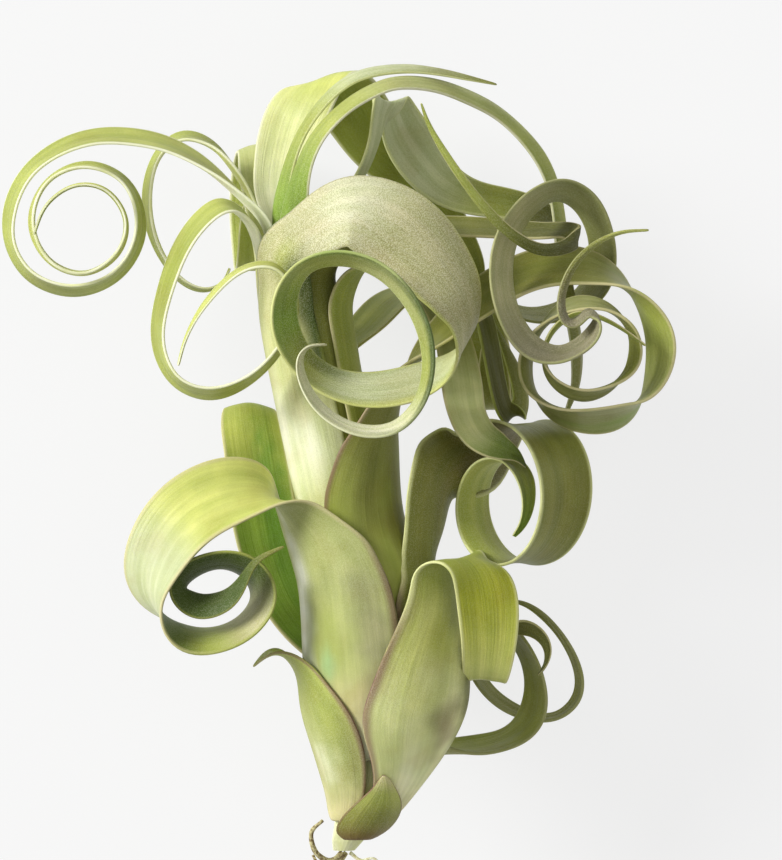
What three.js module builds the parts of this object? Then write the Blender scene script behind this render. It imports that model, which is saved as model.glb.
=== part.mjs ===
// Air plant: a curly-leaved Tillandsia, lying on its back on a flat surface.
// Millimetres. +Y points from the roots to the leaf tips, +Z points up, and the
// plant's front face looks up. The origin is on the surface, under the middle of
// the plant's bounding box.
import * as THREE from "three";

// Driving dimensions
const EYE_HEIGHT = 900; // the routes are given as they look from this height above the stem
const FLOOR_Z = -40; // the surface it lies on, below the stem's axis
const MIDDLE_X = -10.23; // middle of the bounding box, measured from the stem's own zero
const MIDDLE_Y = -7.57;
const SHEATH_PITCH = 1.35; // one sheath and the gap over it
const BLADE_THICKNESS = 0.9; // at the middle of a blade
const MARGIN_THICKNESS = 0.6; // at the margins and the tip
const CHANNEL = 34; // how far a free blade is bent across, in degrees
const BULB_CELLS = 6; // flats across a bulb leaf
const NECK_CELLS = 4; // flats across a neck leaf
const STEPS_A_ROW = 1.15; // steps along a blade for each row of its route
const SHORTEST_BLADE = 3; // fewest steps along a blade
const ROWS_TO_RELAX = 3; // rows a blade takes to change from its sheath's bend to the channel
const FLATTEST_BEND = 0.02; // radians
const CLOSEST_ROWS = 1; // least distance between two rows of a sheath
const CORE_SIDES = 24;
const ROOT_SIDES = 6;
const ROOT_STEPS = 8;
const ROOT_TAPER = 0.6; // a root's tip against its start

// The stem's axis: y, x, then the radii that the neck's and the bulb's sheaths are counted from
const STEM = [
  [-86, -10.2, 0.5, -2.4],
  [-82, -8.6, 1.0, -0.8],
  [-78, -6.8, 2.0, 1.0],
  [-74, -5.2, 3.0, 2.6],
  [-64, -2.8, 4.2, 7.8],
  [-56, -1.9, 4.6, 11.2],
  [-48, -2.2, 4.6, 11.6],
  [-32, -3.6, 4.6, 11.2],
  [-24, -6.4, 4.6, 10.4],
  [-16, -9.0, 4.6, 10.4],
  [8, -14.4, 4.3, 14.0],
  [24, -17.4, 4.4, 12.0],
  [40, -20.4, 2.8, 8.4],
];

// Heights that all the sheaths' rows share, so that the layers stay parallel
const SHEATH_ROWS = [-78, -74, -69, -64, -60, -56, -48, -40, -32, -24, -16, -8, 0, 8, 16, 24, 32];

// The core's own outline: y and radius
const CORE = [
  [-84, 2.2],
  [-82, 3.2],
  [-78, 4.4],
  [-74, 5.0],
  [-69, 7.0],
  [-64, 7.6],
  [-60, 8.4],
  [-56, 10.2],
  [-48, 10.9],
  [-32, 10.5],
  [-24, 9.7],
  [-22.5, 9.2],
  [-22.1, 4.2],
  [-16, 4.2],
  [8, 4.0],
  [24, 4.0],
  [38, 2.6],
  [40, 1.0],
];

function lerp(a, b, t) {
  return a + (b - a) * t;
}

// Reads a column of a table whose first column rises
function along(table, y, column) {
  let k = 1;
  while (k < table.length - 1 && table[k][0] < y) {
    k += 1;
  }
  const [low, high] = [table[k - 1], table[k]];
  const t = THREE.MathUtils.clamp((y - low[0]) / (high[0] - low[0]), 0, 1);
  return lerp(low[column], high[column], t);
}

// From where a point looks to be, to where it is
function place(x, y, z) {
  const nearer = (EYE_HEIGHT - z) / EYE_HEIGHT;
  return new THREE.Vector3(x * nearer, y * nearer, z);
}

// A row of a leaf: its centre, the way across it, the way its hollow side faces,
// its width and how far it is bent across
function sheathRow(y, azimuth, wrap, layer, bulb) {
  const angle = THREE.MathUtils.degToRad(azimuth);
  const bend = THREE.MathUtils.degToRad(wrap);
  const radius = along(STEM, y, bulb ? 3 : 2) + (layer - 0.5) * SHEATH_PITCH;
  const outward = new THREE.Vector3(Math.sin(angle), 0, Math.cos(angle));
  const centre = new THREE.Vector3(along(STEM, y, 1), y, 0).addScaledVector(outward, radius);
  const across = new THREE.Vector3(Math.cos(angle), 0, -Math.sin(angle));
  return { centre, across, inward: outward.negate(), width: radius * bend, bend };
}

// Rows along a coil whose middle wanders: angle 0 is its right side and 90 its top
function coil({ first, last, axis, from, to, radius, width, rows }) {
  const a = new THREE.Vector3(...axis).normalize();
  const right = new THREE.Vector3(1, 0, 0).addScaledVector(a, -a.x).normalize();
  const up = new THREE.Vector3().crossVectors(a, right);
  if (up.y < 0) {
    up.negate();
  }
  const list = [];
  for (let k = 0; k <= rows; k += 1) {
    const t = k / rows;
    const angle = THREE.MathUtils.degToRad(lerp(from, to, t));
    const r = lerp(radius[0], radius[1], t);
    const p = place(...first).lerp(place(...last), t);
    p.addScaledVector(right, r * Math.cos(angle)).addScaledVector(up, r * Math.sin(angle));
    list.push({ centre: p, width: lerp(width[0], width[1], t), across: a.clone() });
  }
  return list;
}

// Rows through points [x, y, z, width], with the way across and the bend where they change
function route(points) {
  return points.map(([x, y, z, width, across, bend]) => ({
    centre: place(x, y, z),
    width,
    across: across ? new THREE.Vector3(...across).normalize() : null,
    bend: bend === undefined ? null : THREE.MathUtils.degToRad(bend),
  }));
}

// Gives every row its way across, turned the same way as the row before
function fillAcross(rows) {
  rows.forEach((row, k) => {
    if (!row.across) {
      const before = rows[k - 1].across;
      const next = rows.findIndex((other, j) => j > k && other.across);
      const after = next < 0 ? before : rows[next].across.clone();
      if (after.dot(before) < 0) {
        after.negate();
      }
      const t = next < 0 ? 0 : 1 / (next - k + 1);
      row.across = before.clone().lerp(after, t).normalize();
    } else if (k > 0 && row.across.dot(rows[k - 1].across) < 0) {
      row.across.negate();
    }
  });
}

// A row's point: u runs from -1 to 1 across, lift is the distance to the hollow side
function sectionPoint(row, u, lift) {
  const angle = (u * row.bend) / 2;
  const radius = row.width / row.bend;
  return row.centre
    .clone()
    .addScaledVector(row.across, (radius - lift) * Math.sin(angle))
    .addScaledVector(row.inward, radius - (radius - lift) * Math.cos(angle));
}

// All the rows of a leaf, from its seat on the stem to its tip
function leafRows({ sheath, layer, bulb, blade }) {
  const low = sheath[0][0];
  const high = sheath[sheath.length - 1][0];
  const between = SHEATH_ROWS.filter((y) => y > low + CLOSEST_ROWS && y < high - CLOSEST_ROWS);
  const rows = [low, ...between, high].map((y) =>
    sheathRow(y, along(sheath, y, 1), along(sheath, y, 2), layer, bulb),
  );
  const stations = [...rows.slice(-2), ...blade];
  fillAcross(stations);
  const channel = THREE.MathUtils.degToRad(CHANNEL);
  blade.forEach((row, k) => {
    const share = Math.min(1, (k + 1) / ROWS_TO_RELAX);
    const relaxed = lerp(rows[rows.length - 1].bend, channel, share);
    row.bend = Math.max(FLATTEST_BEND, row.bend ?? relaxed);
  });
  const centres = new THREE.CatmullRomCurve3(stations.map((row) => row.centre));
  const ways = new THREE.CatmullRomCurve3(stations.map((row) => row.across), false, "catmullrom");
  const sizes = new THREE.CatmullRomCurve3(
    stations.map((row) => new THREE.Vector3(row.width, row.bend, 0)),
    false,
    "catmullrom",
  );
  const first = 1 / (stations.length - 1);
  const steps = Math.max(SHORTEST_BLADE, Math.round(blade.length * STEPS_A_ROW));
  for (let k = 1; k <= steps; k += 1) {
    const t = lerp(first, 1, k / steps);
    const tangent = centres.getTangent(t);
    const across = ways.getPoint(t);
    across.addScaledVector(tangent, -across.dot(tangent)).normalize();
    const inward = new THREE.Vector3().crossVectors(tangent, across);
    const size = sizes.getPoint(t);
    rows.push({ centre: centres.getPoint(t), across, inward, width: size.x, bend: size.y });
  }
  return rows;
}

// A closed blade: its outer and hollow faces, two margins and two ends
function leafGeometry(leaf) {
  const rows = leafRows(leaf);
  const cells = leaf.bulb ? BULB_CELLS : NECK_CELLS;
  const positions = [];
  for (const row of rows) {
    for (const side of [-1, 1]) {
      for (let j = 0; j <= cells; j += 1) {
        const u = lerp(-1, 1, j / cells);
        const half = lerp(BLADE_THICKNESS, MARGIN_THICKNESS, u * u) / 2;
        const p = sectionPoint(row, u, side * half);
        positions.push(p.x, p.y, Math.max(p.z, FLOOR_Z));
      }
    }
  }
  const ring = 2 * (cells + 1);
  const at = (row, side, j) => row * ring + side * (cells + 1) + j;
  const faces = [];
  const quad = (a, b, c, d) => faces.push(a, b, c, a, c, d);
  for (let k = 0; k < rows.length - 1; k += 1) {
    for (let j = 0; j < cells; j += 1) {
      faces.push(at(k, 0, j), at(k, 0, j + 1), at(k + 1, 0, j + 1));
      faces.push(at(k, 0, j), at(k + 1, 0, j + 1), at(k + 1, 0, j));
      faces.push(at(k, 1, j), at(k + 1, 1, j + 1), at(k, 1, j + 1));
      faces.push(at(k, 1, j), at(k + 1, 1, j), at(k + 1, 1, j + 1));
    }
    quad(at(k, 0, 0), at(k + 1, 0, 0), at(k + 1, 1, 0), at(k, 1, 0));
    quad(at(k, 0, cells), at(k, 1, cells), at(k + 1, 1, cells), at(k + 1, 0, cells));
  }
  const end = rows.length - 1;
  for (let j = 0; j < cells; j += 1) {
    quad(at(0, 0, j), at(0, 1, j), at(0, 1, j + 1), at(0, 0, j + 1));
    quad(at(end, 0, j), at(end, 0, j + 1), at(end, 1, j + 1), at(end, 1, j));
  }
  const geometry = new THREE.BufferGeometry();
  geometry.setAttribute("position", new THREE.Float32BufferAttribute(positions, 3));
  geometry.setIndex(faces);
  return geometry;
}

// A closed body of round rings, each given by its middle, the way it faces and its radius
function ringBody(rings, sides) {
  const positions = [];
  const up = new THREE.Vector3(0, 0, 1);
  for (const { centre, facing, radius } of rings) {
    const right = new THREE.Vector3().crossVectors(facing, up).normalize();
    const top = new THREE.Vector3().crossVectors(right, facing);
    for (let j = 0; j < sides; j += 1) {
      const angle = (2 * Math.PI * j) / sides;
      const p = centre
        .clone()
        .addScaledVector(right, radius * Math.cos(angle))
        .addScaledVector(top, radius * Math.sin(angle));
      positions.push(p.x, p.y, p.z);
    }
  }
  const faces = [];
  for (let k = 0; k < rings.length - 1; k += 1) {
    for (let j = 0; j < sides; j += 1) {
      const next = (j + 1) % sides;
      const [a, b] = [k * sides + j, k * sides + next];
      faces.push(a, b + sides, b, a, a + sides, b + sides);
    }
  }
  const end = (rings.length - 1) * sides;
  for (let j = 1; j < sides - 1; j += 1) {
    faces.push(0, j, j + 1, end, end + j + 1, end + j);
  }
  const geometry = new THREE.BufferGeometry();
  geometry.setAttribute("position", new THREE.Float32BufferAttribute(positions, 3));
  geometry.setIndex(faces);
  return geometry;
}

function coreGeometry() {
  const facing = new THREE.Vector3(0, 1, 0);
  const rings = CORE.map(([y, radius]) => ({
    centre: new THREE.Vector3(along(STEM, y, 1), y, 0),
    facing,
    radius,
  }));
  return ringBody(rings, CORE_SIDES);
}

function rootGeometry(points, radius) {
  const curve = new THREE.CatmullRomCurve3(points.map((p) => new THREE.Vector3(...p)));
  const rings = [];
  for (let k = 0; k <= ROOT_STEPS; k += 1) {
    const t = k / ROOT_STEPS;
    rings.push({
      centre: curve.getPoint(t),
      facing: curve.getTangent(t),
      radius: lerp(radius, radius * ROOT_TAPER, t),
    });
  }
  return ringBody(rings, ROOT_SIDES);
}

// The leaves. A sheath's stations are y, the azimuth of its middle (0 faces up, 90 is the
// plant's right) and how far it wraps round, both in degrees. Layer 1 is the innermost.
const LEAVES = {
  leaf_basal_scale: {
    bulb: true,
    layer: 6,
    sheath: [
      [-81.5, 18, 110],
      [-76, 20, 84],
      [-71.5, 16, 28],
    ],
    blade: route([[-1.4, -69, 12.6, 1.2, [1, 0, -0.3]]]),
  },
  leaf_lower_left: {
    bulb: true,
    layer: 4,
    sheath: [
      [-78, -46, 96],
      [-70, -52, 95],
      [-61, -60, 91],
      [-54, -66, 78],
      [-48, -76, 56],
    ],
    blade: route([
      [-22, -44.3, 6, 6.5, [0.3, 0, 0.95]],
      [-25, -45, 7, 4],
      [-27.6, -47.4, 7, 1.2],
    ]),
  },
  leaf_lower_right: {
    bulb: true,
    layer: 5,
    sheath: [
      [-77, 58, 100],
      [-70, 55, 100],
      [-58, 45, 120],
      [-50, 50, 110],
      [-44, 54, 102],
      [-36, 65, 98],
      [-28, 68, 84],
    ],
    blade: route([
      [12.9, -26.8, 11, 13.4, [0.6, -0.1, -0.8]],
      [16.4, -27.8, 13.8, 13, [0.78, -0.25, -0.57]],
      [19, -30.6, 14.4, 14, [0.95, -0.2, -0.25]],
      [19.4, -35.6, 13, 13.4, [0.97, -0.1, -0.2]],
      [19.8, -42, 11, 11.4],
      [19, -48, 7, 10, [0.97, -0.1, -0.2]],
      [18.5, -51, 2, 9],
      [18.7, -48.5, -3, 8],
      [19.5, -43, -6, 7, [0.97, 0.1, 0.2]],
      [23, -39, -6, 5.5, [0.6, 0.6, 0.5]],
      [27.5, -38.8, -5, 4, [0.2, 0.8, 0.5]],
      [31, -41.5, -5, 3],
      [31.8, -44.6, -5, 2.2, [0.8, 0, 0.5]],
      [31, -47.2, -5, 1.6],
      [29.4, -49, -5, 1],
    ]),
  },
  leaf_front_left: {
    bulb: true,
    layer: 3,
    sheath: [
      [-66, -50, 130],
      [-54, -50, 140],
      [-34, -52, 136],
      [-22, -48, 122],
      [-19.5, -52, 118],
      [-17, -60, 92],
    ],
    blade: route([
      [-24, -13, 8.5, 17, [0.45, -0.5, 0.75]],
      [-32.6, -13, 11, 17, [0.14, -0.82, 0.55]],
      [-41.4, -17.6, 12.5, 17, [0.42, -0.75, 0.5]],
      [-47.2, -26.8, 13.5, 15.5, [0.66, -0.48, 0.58]],
      [-47.4, -34.6, 13, 14, [0.45, -0.3, 0.84]],
      [-40.5, -41.5, 12, 13, [-0.05, -0.42, 0.9]],
      [-31, -40, 11.5, 12, [0.35, -0.25, 0.9]],
      [-26, -34, 11.5, 11, [0.5, 0.1, 0.86]],
      [-28, -28.4, 12, 9.6, [0.35, 0.4, 0.85]],
      [-34, -26.4, 12.5, 8.6, [0.1, 0.4, 0.9]],
      [-40.6, -28.8, 13, 7.6, [-0.35, 0.3, 0.88]],
      [-42.4, -33, 13.5, 6.8, [-0.4, -0.1, 0.9]],
      [-38.5, -36.8, 14, 5.8, [0, -0.4, 0.9]],
      [-33, -35.6, 15.5, 4.4],
      [-30, -31.6, 17, 3.2],
      [-27.2, -26.2, 19, 2.2, [0.3, -0.5, 0.75]],
      [-21.4, -23.3, 20, 1],
    ]),
  },
  leaf_back_left: {
    bulb: true,
    layer: 2,
    sheath: [
      [-64, -155, 58],
      [-48, -155, 58],
    ],
    blade: route([
      [-13.5, -43, -13, 12, [-0.9, 0, 0.4]],
      [-20, -35, -13.5, 11.5, [-0.97, 0, 0.2]],
      [-24, -25, -13.5, 13],
      [-26, -14, -13.5, 13.8, [-0.98, 0, 0.15]],
      [-27.4, -5, -14, 11.8],
      [-28.8, 1, -15.6, 9.2, [-0.96, -0.2, 0.1]],
      [-30, 4.8, -19, 7],
      [-29.6, 2.5, -23.5, 6.6, [-0.98, 0, -0.1]],
      [-28.6, -6, -26, 6.6],
      [-27.4, -14, -26, 6.2],
      [-27, -20, -23.5, 5.2],
      [-27.2, -22, -20, 3.6],
      [-27.4, -18.5, -18, 1.2],
    ]),
  },
  leaf_right_curl: {
    bulb: true,
    layer: 1,
    sheath: [
      [-60, 20, 140],
      [-34, 30, 145],
      [-14, 36, 112],
      [-8, 42, 92],
      [-3, 50, 82],
      [2, 60, 60],
    ],
    blade: route([
      [2.5, 10, 9, 13, [0.3, 0.1, -0.9]],
      [8, 16.5, 8.5, 12.5, [0.1, 0.5, -0.85]],
      [14.5, 23, 7.5, 12, [0, 0.65, -0.75]],
      [22, 28.5, 5, 11.5],
      [30, 32, 3.5, 11, [-0.05, 0.75, -0.65]],
      [38, 32.5, 2.5, 11, [-0.1, 0.7, -0.65]],
      [45, 30, 2, 10.5, [-0.3, 0.55, -0.75]],
      [51, 24.5, 2, 11],
      [54.5, 17.5, 2.5, 10.8, [-0.65, 0, -0.75]],
      [53, 9.5, 3, 10.4],
      [48, 4, 3.5, 10, [-0.3, -0.55, -0.75]],
      [40.5, 2.2, 6, 8.6, [0, -0.6, -0.8]],
      [33, 3.6, 7, 8],
      [28, 8.5, 7, 7.5, [0.35, -0.2, -0.9]],
      [27.5, 15.5, 7.5, 7, [0.4, 0, -0.9]],
      [31, 21.5, 8, 6.5],
      [36.5, 25, 8.5, 6, [0, 0.5, -0.85]],
      [43, 24.5, 9, 5.5],
      [48, 20, 9, 5],
      [49, 13.5, 9, 4.6, [-0.3, 0, -0.95]],
      [45, 8.5, 9.4, 4.2],
      [38.5, 6.5, 9.8, 3.8, [0, -0.3, -0.95]],
      [33, 9, 10, 3.4],
      [30.5, 14, 10, 3],
      [32.5, 20, 10.5, 2.6],
      [38, 23.5, 10.8, 2.2],
      [45, 21, 11, 1.6],
      [51, 16.8, 11, 1],
    ]),
  },
  leaf_right_roll: {
    bulb: true,
    layer: 2,
    sheath: [
      [-64, 85, 120],
      [-46, 80, 125],
      [-34, 80, 124],
      [-28, 85, 100],
    ],
    blade: [
      ...route([
        [8.4, -21, 3.2, 14.2, [0.58, 0, -0.81], 76],
        [8.8, -14, 3, 15.4, [0.6, 0, -0.8], 60],
        [11, -7.6, 1.5, 16.4, [0.68, 0, -0.73], 50],
      ]),
      ...coil({
        first: [26.8, -13.4, 1.5],
        last: [21.4, -15.8, 6.6],
        axis: [0.75, 0, -0.66],
        from: 145,
        to: -410,
        radius: [15.4, 7],
        width: [18, 2.4],
        rows: 22,
      }),
    ],
  },
  leaf_ribbon: {
    layer: 4,
    sheath: [
      [-20, 74, 88],
      [6, 74, 88],
      [24, 72, 84],
    ],
    blade: route([
      [-7, 30, 3, 11, [0.3, 0, -0.95]],
      [-3.5, 33.5, 3, 11, [0.1, 0.5, -0.85]],
      [2, 32.5, 2, 10.5, [0, 0.65, -0.75]],
      [8, 26, -1, 10, [0.45, 0.5, -0.75]],
      [12, 18.5, -3.5, 9.5, [0.7, 0.2, -0.65]],
      [13.8, 10, 1, 9.5, [0.85, 0, -0.5]],
      [14.8, 3.5, 8, 8.5, [0.85, 0.1, -0.5]],
      [17.6, -1.5, 12.5, 8, [0.7, 0.5, -0.5]],
      [21.5, -3.5, 13.5, 6.5, [0.3, 0.8, -0.5]],
      [25, -5, 12.5, 4],
      [27, -7.5, 11, 1.5],
    ]),
  },
  leaf_front_curl: {
    layer: 4,
    sheath: [
      [-20, -38, 116],
      [6, -38, 116],
      [22, -36, 100],
    ],
    blade: route([
      [-22, 28, 9.5, 13, [0.85, -0.1, 0.4]],
      [-22.6, 34, 13, 13.5, [0.8, -0.4, 0.45]],
      [-18.6, 38.5, 16, 15, [0.3, -0.75, 0.6]],
      [-9.2, 44.8, 18, 18, [0.15, -0.8, 0.58]],
      [-1.6, 42.8, 18.5, 19, [-0.15, -0.88, 0.45]],
      [4.8, 38.2, 19, 19, [-0.2, -0.9, 0.4]],
      [10.4, 32, 19.5, 17.5, [-0.22, -0.84, 0.5]],
      [13.8, 26.4, 20, 15.5, [-0.3, -0.75, 0.58]],
      [15.2, 20.6, 20, 14, [-0.35, -0.5, 0.78]],
      [12.4, 13, 20.5, 12.5, [-0.1, -0.5, 0.85]],
      [3.4, 8.4, 21.5, 11.5, [0, -0.66, 0.75]],
      [-8.2, 7.6, 22.5, 10, [-0.1, -0.66, 0.75]],
      [-17, 12, 24, 9, [-0.45, -0.4, 0.8]],
      [-21.8, 20, 25.5, 8, [-0.55, 0, 0.83]],
      [-21.4, 28, 27, 7.2, [-0.5, 0.3, 0.8]],
      [-17, 33.4, 28.5, 6.8, [-0.3, 0.55, 0.78]],
      [-9.2, 34.8, 29.5, 6.4, [0, 0.62, 0.78]],
      [-1.2, 31.8, 30.5, 6.2, [0.35, 0.5, 0.78]],
      [4.8, 25, 31.5, 6, [0.6, 0.25, 0.76]],
      [7.8, 16, 32.5, 5.8, [0.66, 0, 0.75]],
      [6.6, 6.4, 33, 5.4, [0.55, -0.35, 0.76]],
      [0.8, 0, 33.5, 5, [0.25, -0.6, 0.76]],
      [-7.2, -0.2, 34, 4.6, [-0.1, -0.62, 0.77]],
      [-14.2, 4, 34.5, 4.2, [-0.5, -0.4, 0.77]],
      [-17.8, 10, 35, 3.6, [-0.62, 0, 0.78]],
      [-18.2, 14.6, 35.2, 2.8],
      [-16.2, 16.8, 35.4, 1.9],
      [-12.8, 17, 35.4, 0.9],
    ]),
  },
  leaf_left_loop: {
    layer: 3,
    sheath: [
      [-14, -88, 96],
      [30, -80, 90],
    ],
    blade: route([
      [-27.4, 38, 3.6, 8.8, [0.1, -0.1, 0.95]],
      [-30, 42.8, 8.5, 9, [0.3, -0.35, 0.88]],
      [-33.8, 44.6, 11, 9],
      [-40, 39, 11, 9.1, [0.4, -0.25, 0.88]],
      [-44.6, 28.5, 11.5, 8.4, [0.45, 0, 0.89]],
      [-46.4, 18, 12, 7.5],
      [-43, 10, 13, 7, [0.2, 0.2, 0.92]],
      [-36, 7.4, 13.5, 6.5, [0, 0.35, 0.92]],
      [-28, 10.6, 14, 6],
      [-22, 17, 15, 5.5, [-0.2, 0.1, 0.95]],
      [-19, 25, 17, 5],
      [-23, 32.6, 19.5, 4.4, [0.1, -0.3, 0.95]],
      [-30, 32, 19.5, 3.8],
      [-37, 25.4, 19.5, 3, [0.3, -0.2, 0.9]],
      [-41, 18.5, 19.5, 2],
      [-42.6, 12.8, 19.5, 1],
    ]),
  },
  leaf_top_left_ring: {
    layer: 2,
    sheath: [
      [-6, -80, 76],
      [34, -80, 76],
    ],
    blade: route([
      [-25, 40.5, 0.8, 7.6, [0.2, 0, 0.95]],
      [-30.6, 46.8, 0.6, 8.2, [0.3, -0.3, 0.9]],
      [-38.2, 53.2, 0, 9, [0.2, -0.4, 0.9]],
      [-45.2, 56.8, 0, 8.6],
      [-52.2, 58.2, 0.5, 8.2, [0.1, -0.45, 0.87]],
      [-59.2, 58.2, 1, 8],
      [-66.2, 56, 1.5, 7.8, [0.25, -0.4, 0.87]],
      [-72.4, 51.4, 2, 7.6],
      [-75.8, 44.6, 2.5, 7.4, [0.4, -0.1, 0.87]],
      [-75.8, 37, 3, 7.2],
      [-71.6, 30.6, 3.5, 7, [0.2, 0.2, 0.9]],
      [-63.2, 28, 4, 6.6, [0, 0.3, 0.93]],
      [-54.4, 31.6, 5, 6.2],
      [-50.2, 40.4, 6, 5.6, [-0.3, 0, 0.93]],
      [-53, 49.6, 7, 5.2],
      [-61.2, 53, 8, 4.8, [0, -0.3, 0.93]],
      [-69, 49.6, 8.6, 4.4],
      [-72, 41.6, 9.2, 4, [0.3, 0, 0.93]],
      [-68.4, 33.8, 9.8, 3.6],
      [-61.2, 31.2, 10.4, 3.2],
      [-54.6, 35.4, 11, 2.8, [-0.2, 0.1, 0.95]],
      [-53, 42, 11.5, 2.5],
      [-57, 48, 12, 2.2, [0, -0.2, 0.95]],
      [-63.2, 49, 12.5, 1.8],
      [-69, 45, 13, 1.4],
      [-71.4, 39, 13.4, 0.9],
    ]),
  },
  leaf_upper_left_ring: {
    layer: 2,
    sheath: [
      [-6, -154, 72],
      [34, -154, 72],
    ],
    blade: route([
      [-23.4, 40, -9.6, 7.6, [-0.5, 0, 0.8]],
      [-28, 46.5, -12.6, 8, [0.1, -0.2, 0.95]],
      [-31.8, 52.4, -12.5, 7.8, [0.25, -0.3, 0.9]],
      [-36.2, 57, -13, 7.4],
      [-42, 58.6, -13, 7, [0.1, -0.35, 0.9]],
      [-46.8, 54.4, -13, 6.4],
      [-48.6, 46, -13, 5.8, [0.35, 0, 0.93]],
      [-46.8, 37, -13, 5],
      [-42, 30, -12.5, 4.2, [0.1, 0.3, 0.93]],
      [-37, 28, -12, 3.2],
      [-33.5, 29.6, -12, 2.2],
      [-32.2, 32.4, -12, 1],
    ]),
  },
  leaf_tall_wide: {
    layer: 1,
    sheath: [
      [0, -166, 66],
      [38, -166, 66],
    ],
    blade: route([
      [-22.4, 46, -7, 10, [0.97, 0.05, 0.1]],
      [-21.2, 55, -7.4, 12.5, [0.97, 0.1, 0.15]],
      [-18.8, 63, -8.4, 14, [0.95, 0.2, 0.2]],
      [-15, 67, -11.5, 14.4, [0.9, 0.33, 0.25]],
      [-10.6, 65.8, -15.5, 14.4, [0.86, 0.42, 0.25]],
      [-6.5, 61.8, -18.5, 14, [0.8, 0.55, 0.2]],
      [-2.5, 57, -20, 13, [0.78, 0.6, 0.15]],
      [3, 52, -21.3, 11.6],
      [8, 46.5, -22, 9.5],
      [13, 39.5, -23.5, 7],
      [16.5, 33, -25, 5],
      [17.5, 28, -27, 3],
      [16, 24.5, -28.5, 1.2],
    ]),
  },
  leaf_top_thin: {
    layer: 1,
    sheath: [
      [0, -24, 72],
      [38, -24, 72],
    ],
    blade: route([
      [-22.6, 44, 3, 5.6, [0.6, 0, 0.75]],
      [-21.6, 50, 3.2, 5.4, [0.4, 0, 0.9]],
      [-18.4, 59.4, 3.8, 5.4, [0.3, -0.2, 0.93]],
      [-12, 67.6, 5, 5.2],
      [-6.2, 71.3, 4, 4.8, [0.1, -0.4, 0.9]],
      [3.2, 72.5, 2.6, 4],
      [10.2, 71.7, 1.8, 3.2],
      [15.8, 70.4, 1.5, 2.2],
      [21.2, 69, 1, 1],
    ]),
  },
  leaf_long_arch: {
    layer: 2,
    sheath: [
      [-6, 2, 74],
      [34, 2, 74],
    ],
    blade: route([
      [-19.8, 41, 7.5, 7.5, [0.8, 0, 0.5]],
      [-18.6, 50.6, 9, 7, [0.5, -0.1, 0.85]],
      [-15.2, 58.6, 9.5, 6.6, [0.3, -0.3, 0.9]],
      [-9.6, 64.6, 9, 6.4],
      [-3.8, 68.2, 8, 6.2, [0.1, -0.45, 0.87]],
      [0.8, 69.8, 7, 6],
      [8, 69.4, 4, 6],
      [15, 67, 1, 5.8, [-0.2, -0.4, 0.87]],
      [22, 63.4, -3, 5.6],
      [29.2, 56, -6, 5.4, [-0.45, -0.2, 0.87]],
      [32.4, 49.6, -8, 5.2],
      [33.8, 43, -9, 5, [-0.5, 0, 0.87]],
      [34.4, 36, -10, 4.8],
      [35.8, 26, -8, 5.2],
      [37.4, 17, -8.5, 5, [-0.5, 0, 0.87]],
      [37.2, 9, -10, 4.4],
      [35.6, 4.6, -11, 3],
      [34.4, 1.6, -11.5, 1],
    ]),
  },
  leaf_hook: {
    layer: 3,
    sheath: [
      [-14, 30, 90],
      [30, 34, 86],
    ],
    blade: route([
      [-9, 35.5, 8, 8.5, [0.3, 0, -0.9]],
      [-2, 38.8, 7, 8, [0, 0.5, -0.85]],
      [6, 40.2, 4.5, 7.5, [0, 0.6, -0.8]],
      [14, 40.4, 2, 7],
      [22, 40, 0.5, 6.5, [0, 0.6, -0.8]],
      [30, 39.5, 1, 5.5],
      [35.5, 39.8, 3.5, 4.6, [0.1, 0.6, -0.7]],
      [37.4, 38.6, 6.5, 3.8],
      [35, 36.6, 10, 3.6, [0.1, 0.9, -0.3]],
      [30, 36, 14, 3.2],
      [25, 38.5, 17.5, 2.8, [0.6, 0.7, 0.2]],
      [20, 43, 19, 2.5],
      [15.5, 48.5, 19, 2.3],
      [11, 55, 18.5, 2],
      [7.5, 61, 18, 1.6],
      [6, 65.4, 17.5, 0.8],
    ]),
  },
  leaf_right_ring: {
    layer: 2,
    sheath: [
      [-6, 92, 72],
      [34, 92, 72],
    ],
    blade: route([
      [-8, 38, -4, 9, [0.3, 0.1, -0.9]],
      [0, 36.5, -10, 9, [0, 0.4, -0.9]],
      [9, 32, -16, 9],
      [18, 27, -19, 9],
      [27, 22.5, -19, 9],
      [36, 24, -16, 9, [-0.3, 0.3, -0.9]],
      [42, 30, -10, 9, [-0.5, 0, -0.85]],
      [42.5, 38.5, -4, 8.5],
      [39, 46, 1, 8, [-0.35, -0.4, -0.85]],
      [33.5, 48.5, 5, 7.5, [0, -0.5, -0.85]],
      [27, 45, 9, 7.8, [0.4, -0.3, -0.85]],
      [22.5, 38, 12, 8.2, [0.55, 0, -0.83]],
      [21.5, 30, 13.5, 8.4, [0.55, 0.1, -0.82]],
      [23.5, 22, 14.5, 8, [0.5, 0.3, -0.8]],
      [28, 16, 15.5, 7.5, [0.3, 0.6, -0.75]],
      [34, 14.5, 16, 7],
      [40, 18, 16, 6.5, [-0.4, 0.3, -0.85]],
      [41.6, 22.3, 16, 5],
      [39.5, 23.8, 16.3, 4],
      [37, 21.4, 16.8, 3, [0.2, 0.6, -0.75]],
      [35, 21.8, 17.2, 2.6, [0.7, 0.2, -0.7]],
      [34, 25.5, 17.5, 2.2],
      [36, 32, 17.5, 2],
      [40.5, 37, 17.5, 1.7, [0.5, -0.5, -0.6]],
      [46, 39.6, 17, 1.3],
      [51.6, 40, 16.5, 0.8],
    ]),
  },
  leaf_wedge: {
    layer: 1,
    sheath: [
      [0, 114, 62],
      [38, 114, 62],
    ],
    blade: route([
      [-11, 44, -3, 6, [0.2, 0, -0.95]],
      [-6, 50, -3.5, 6],
      [-3.2, 57, -4, 6.5, [0.25, 0, -0.95]],
      [-2, 63, -5, 7, [0.4, 0, -0.9]],
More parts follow.
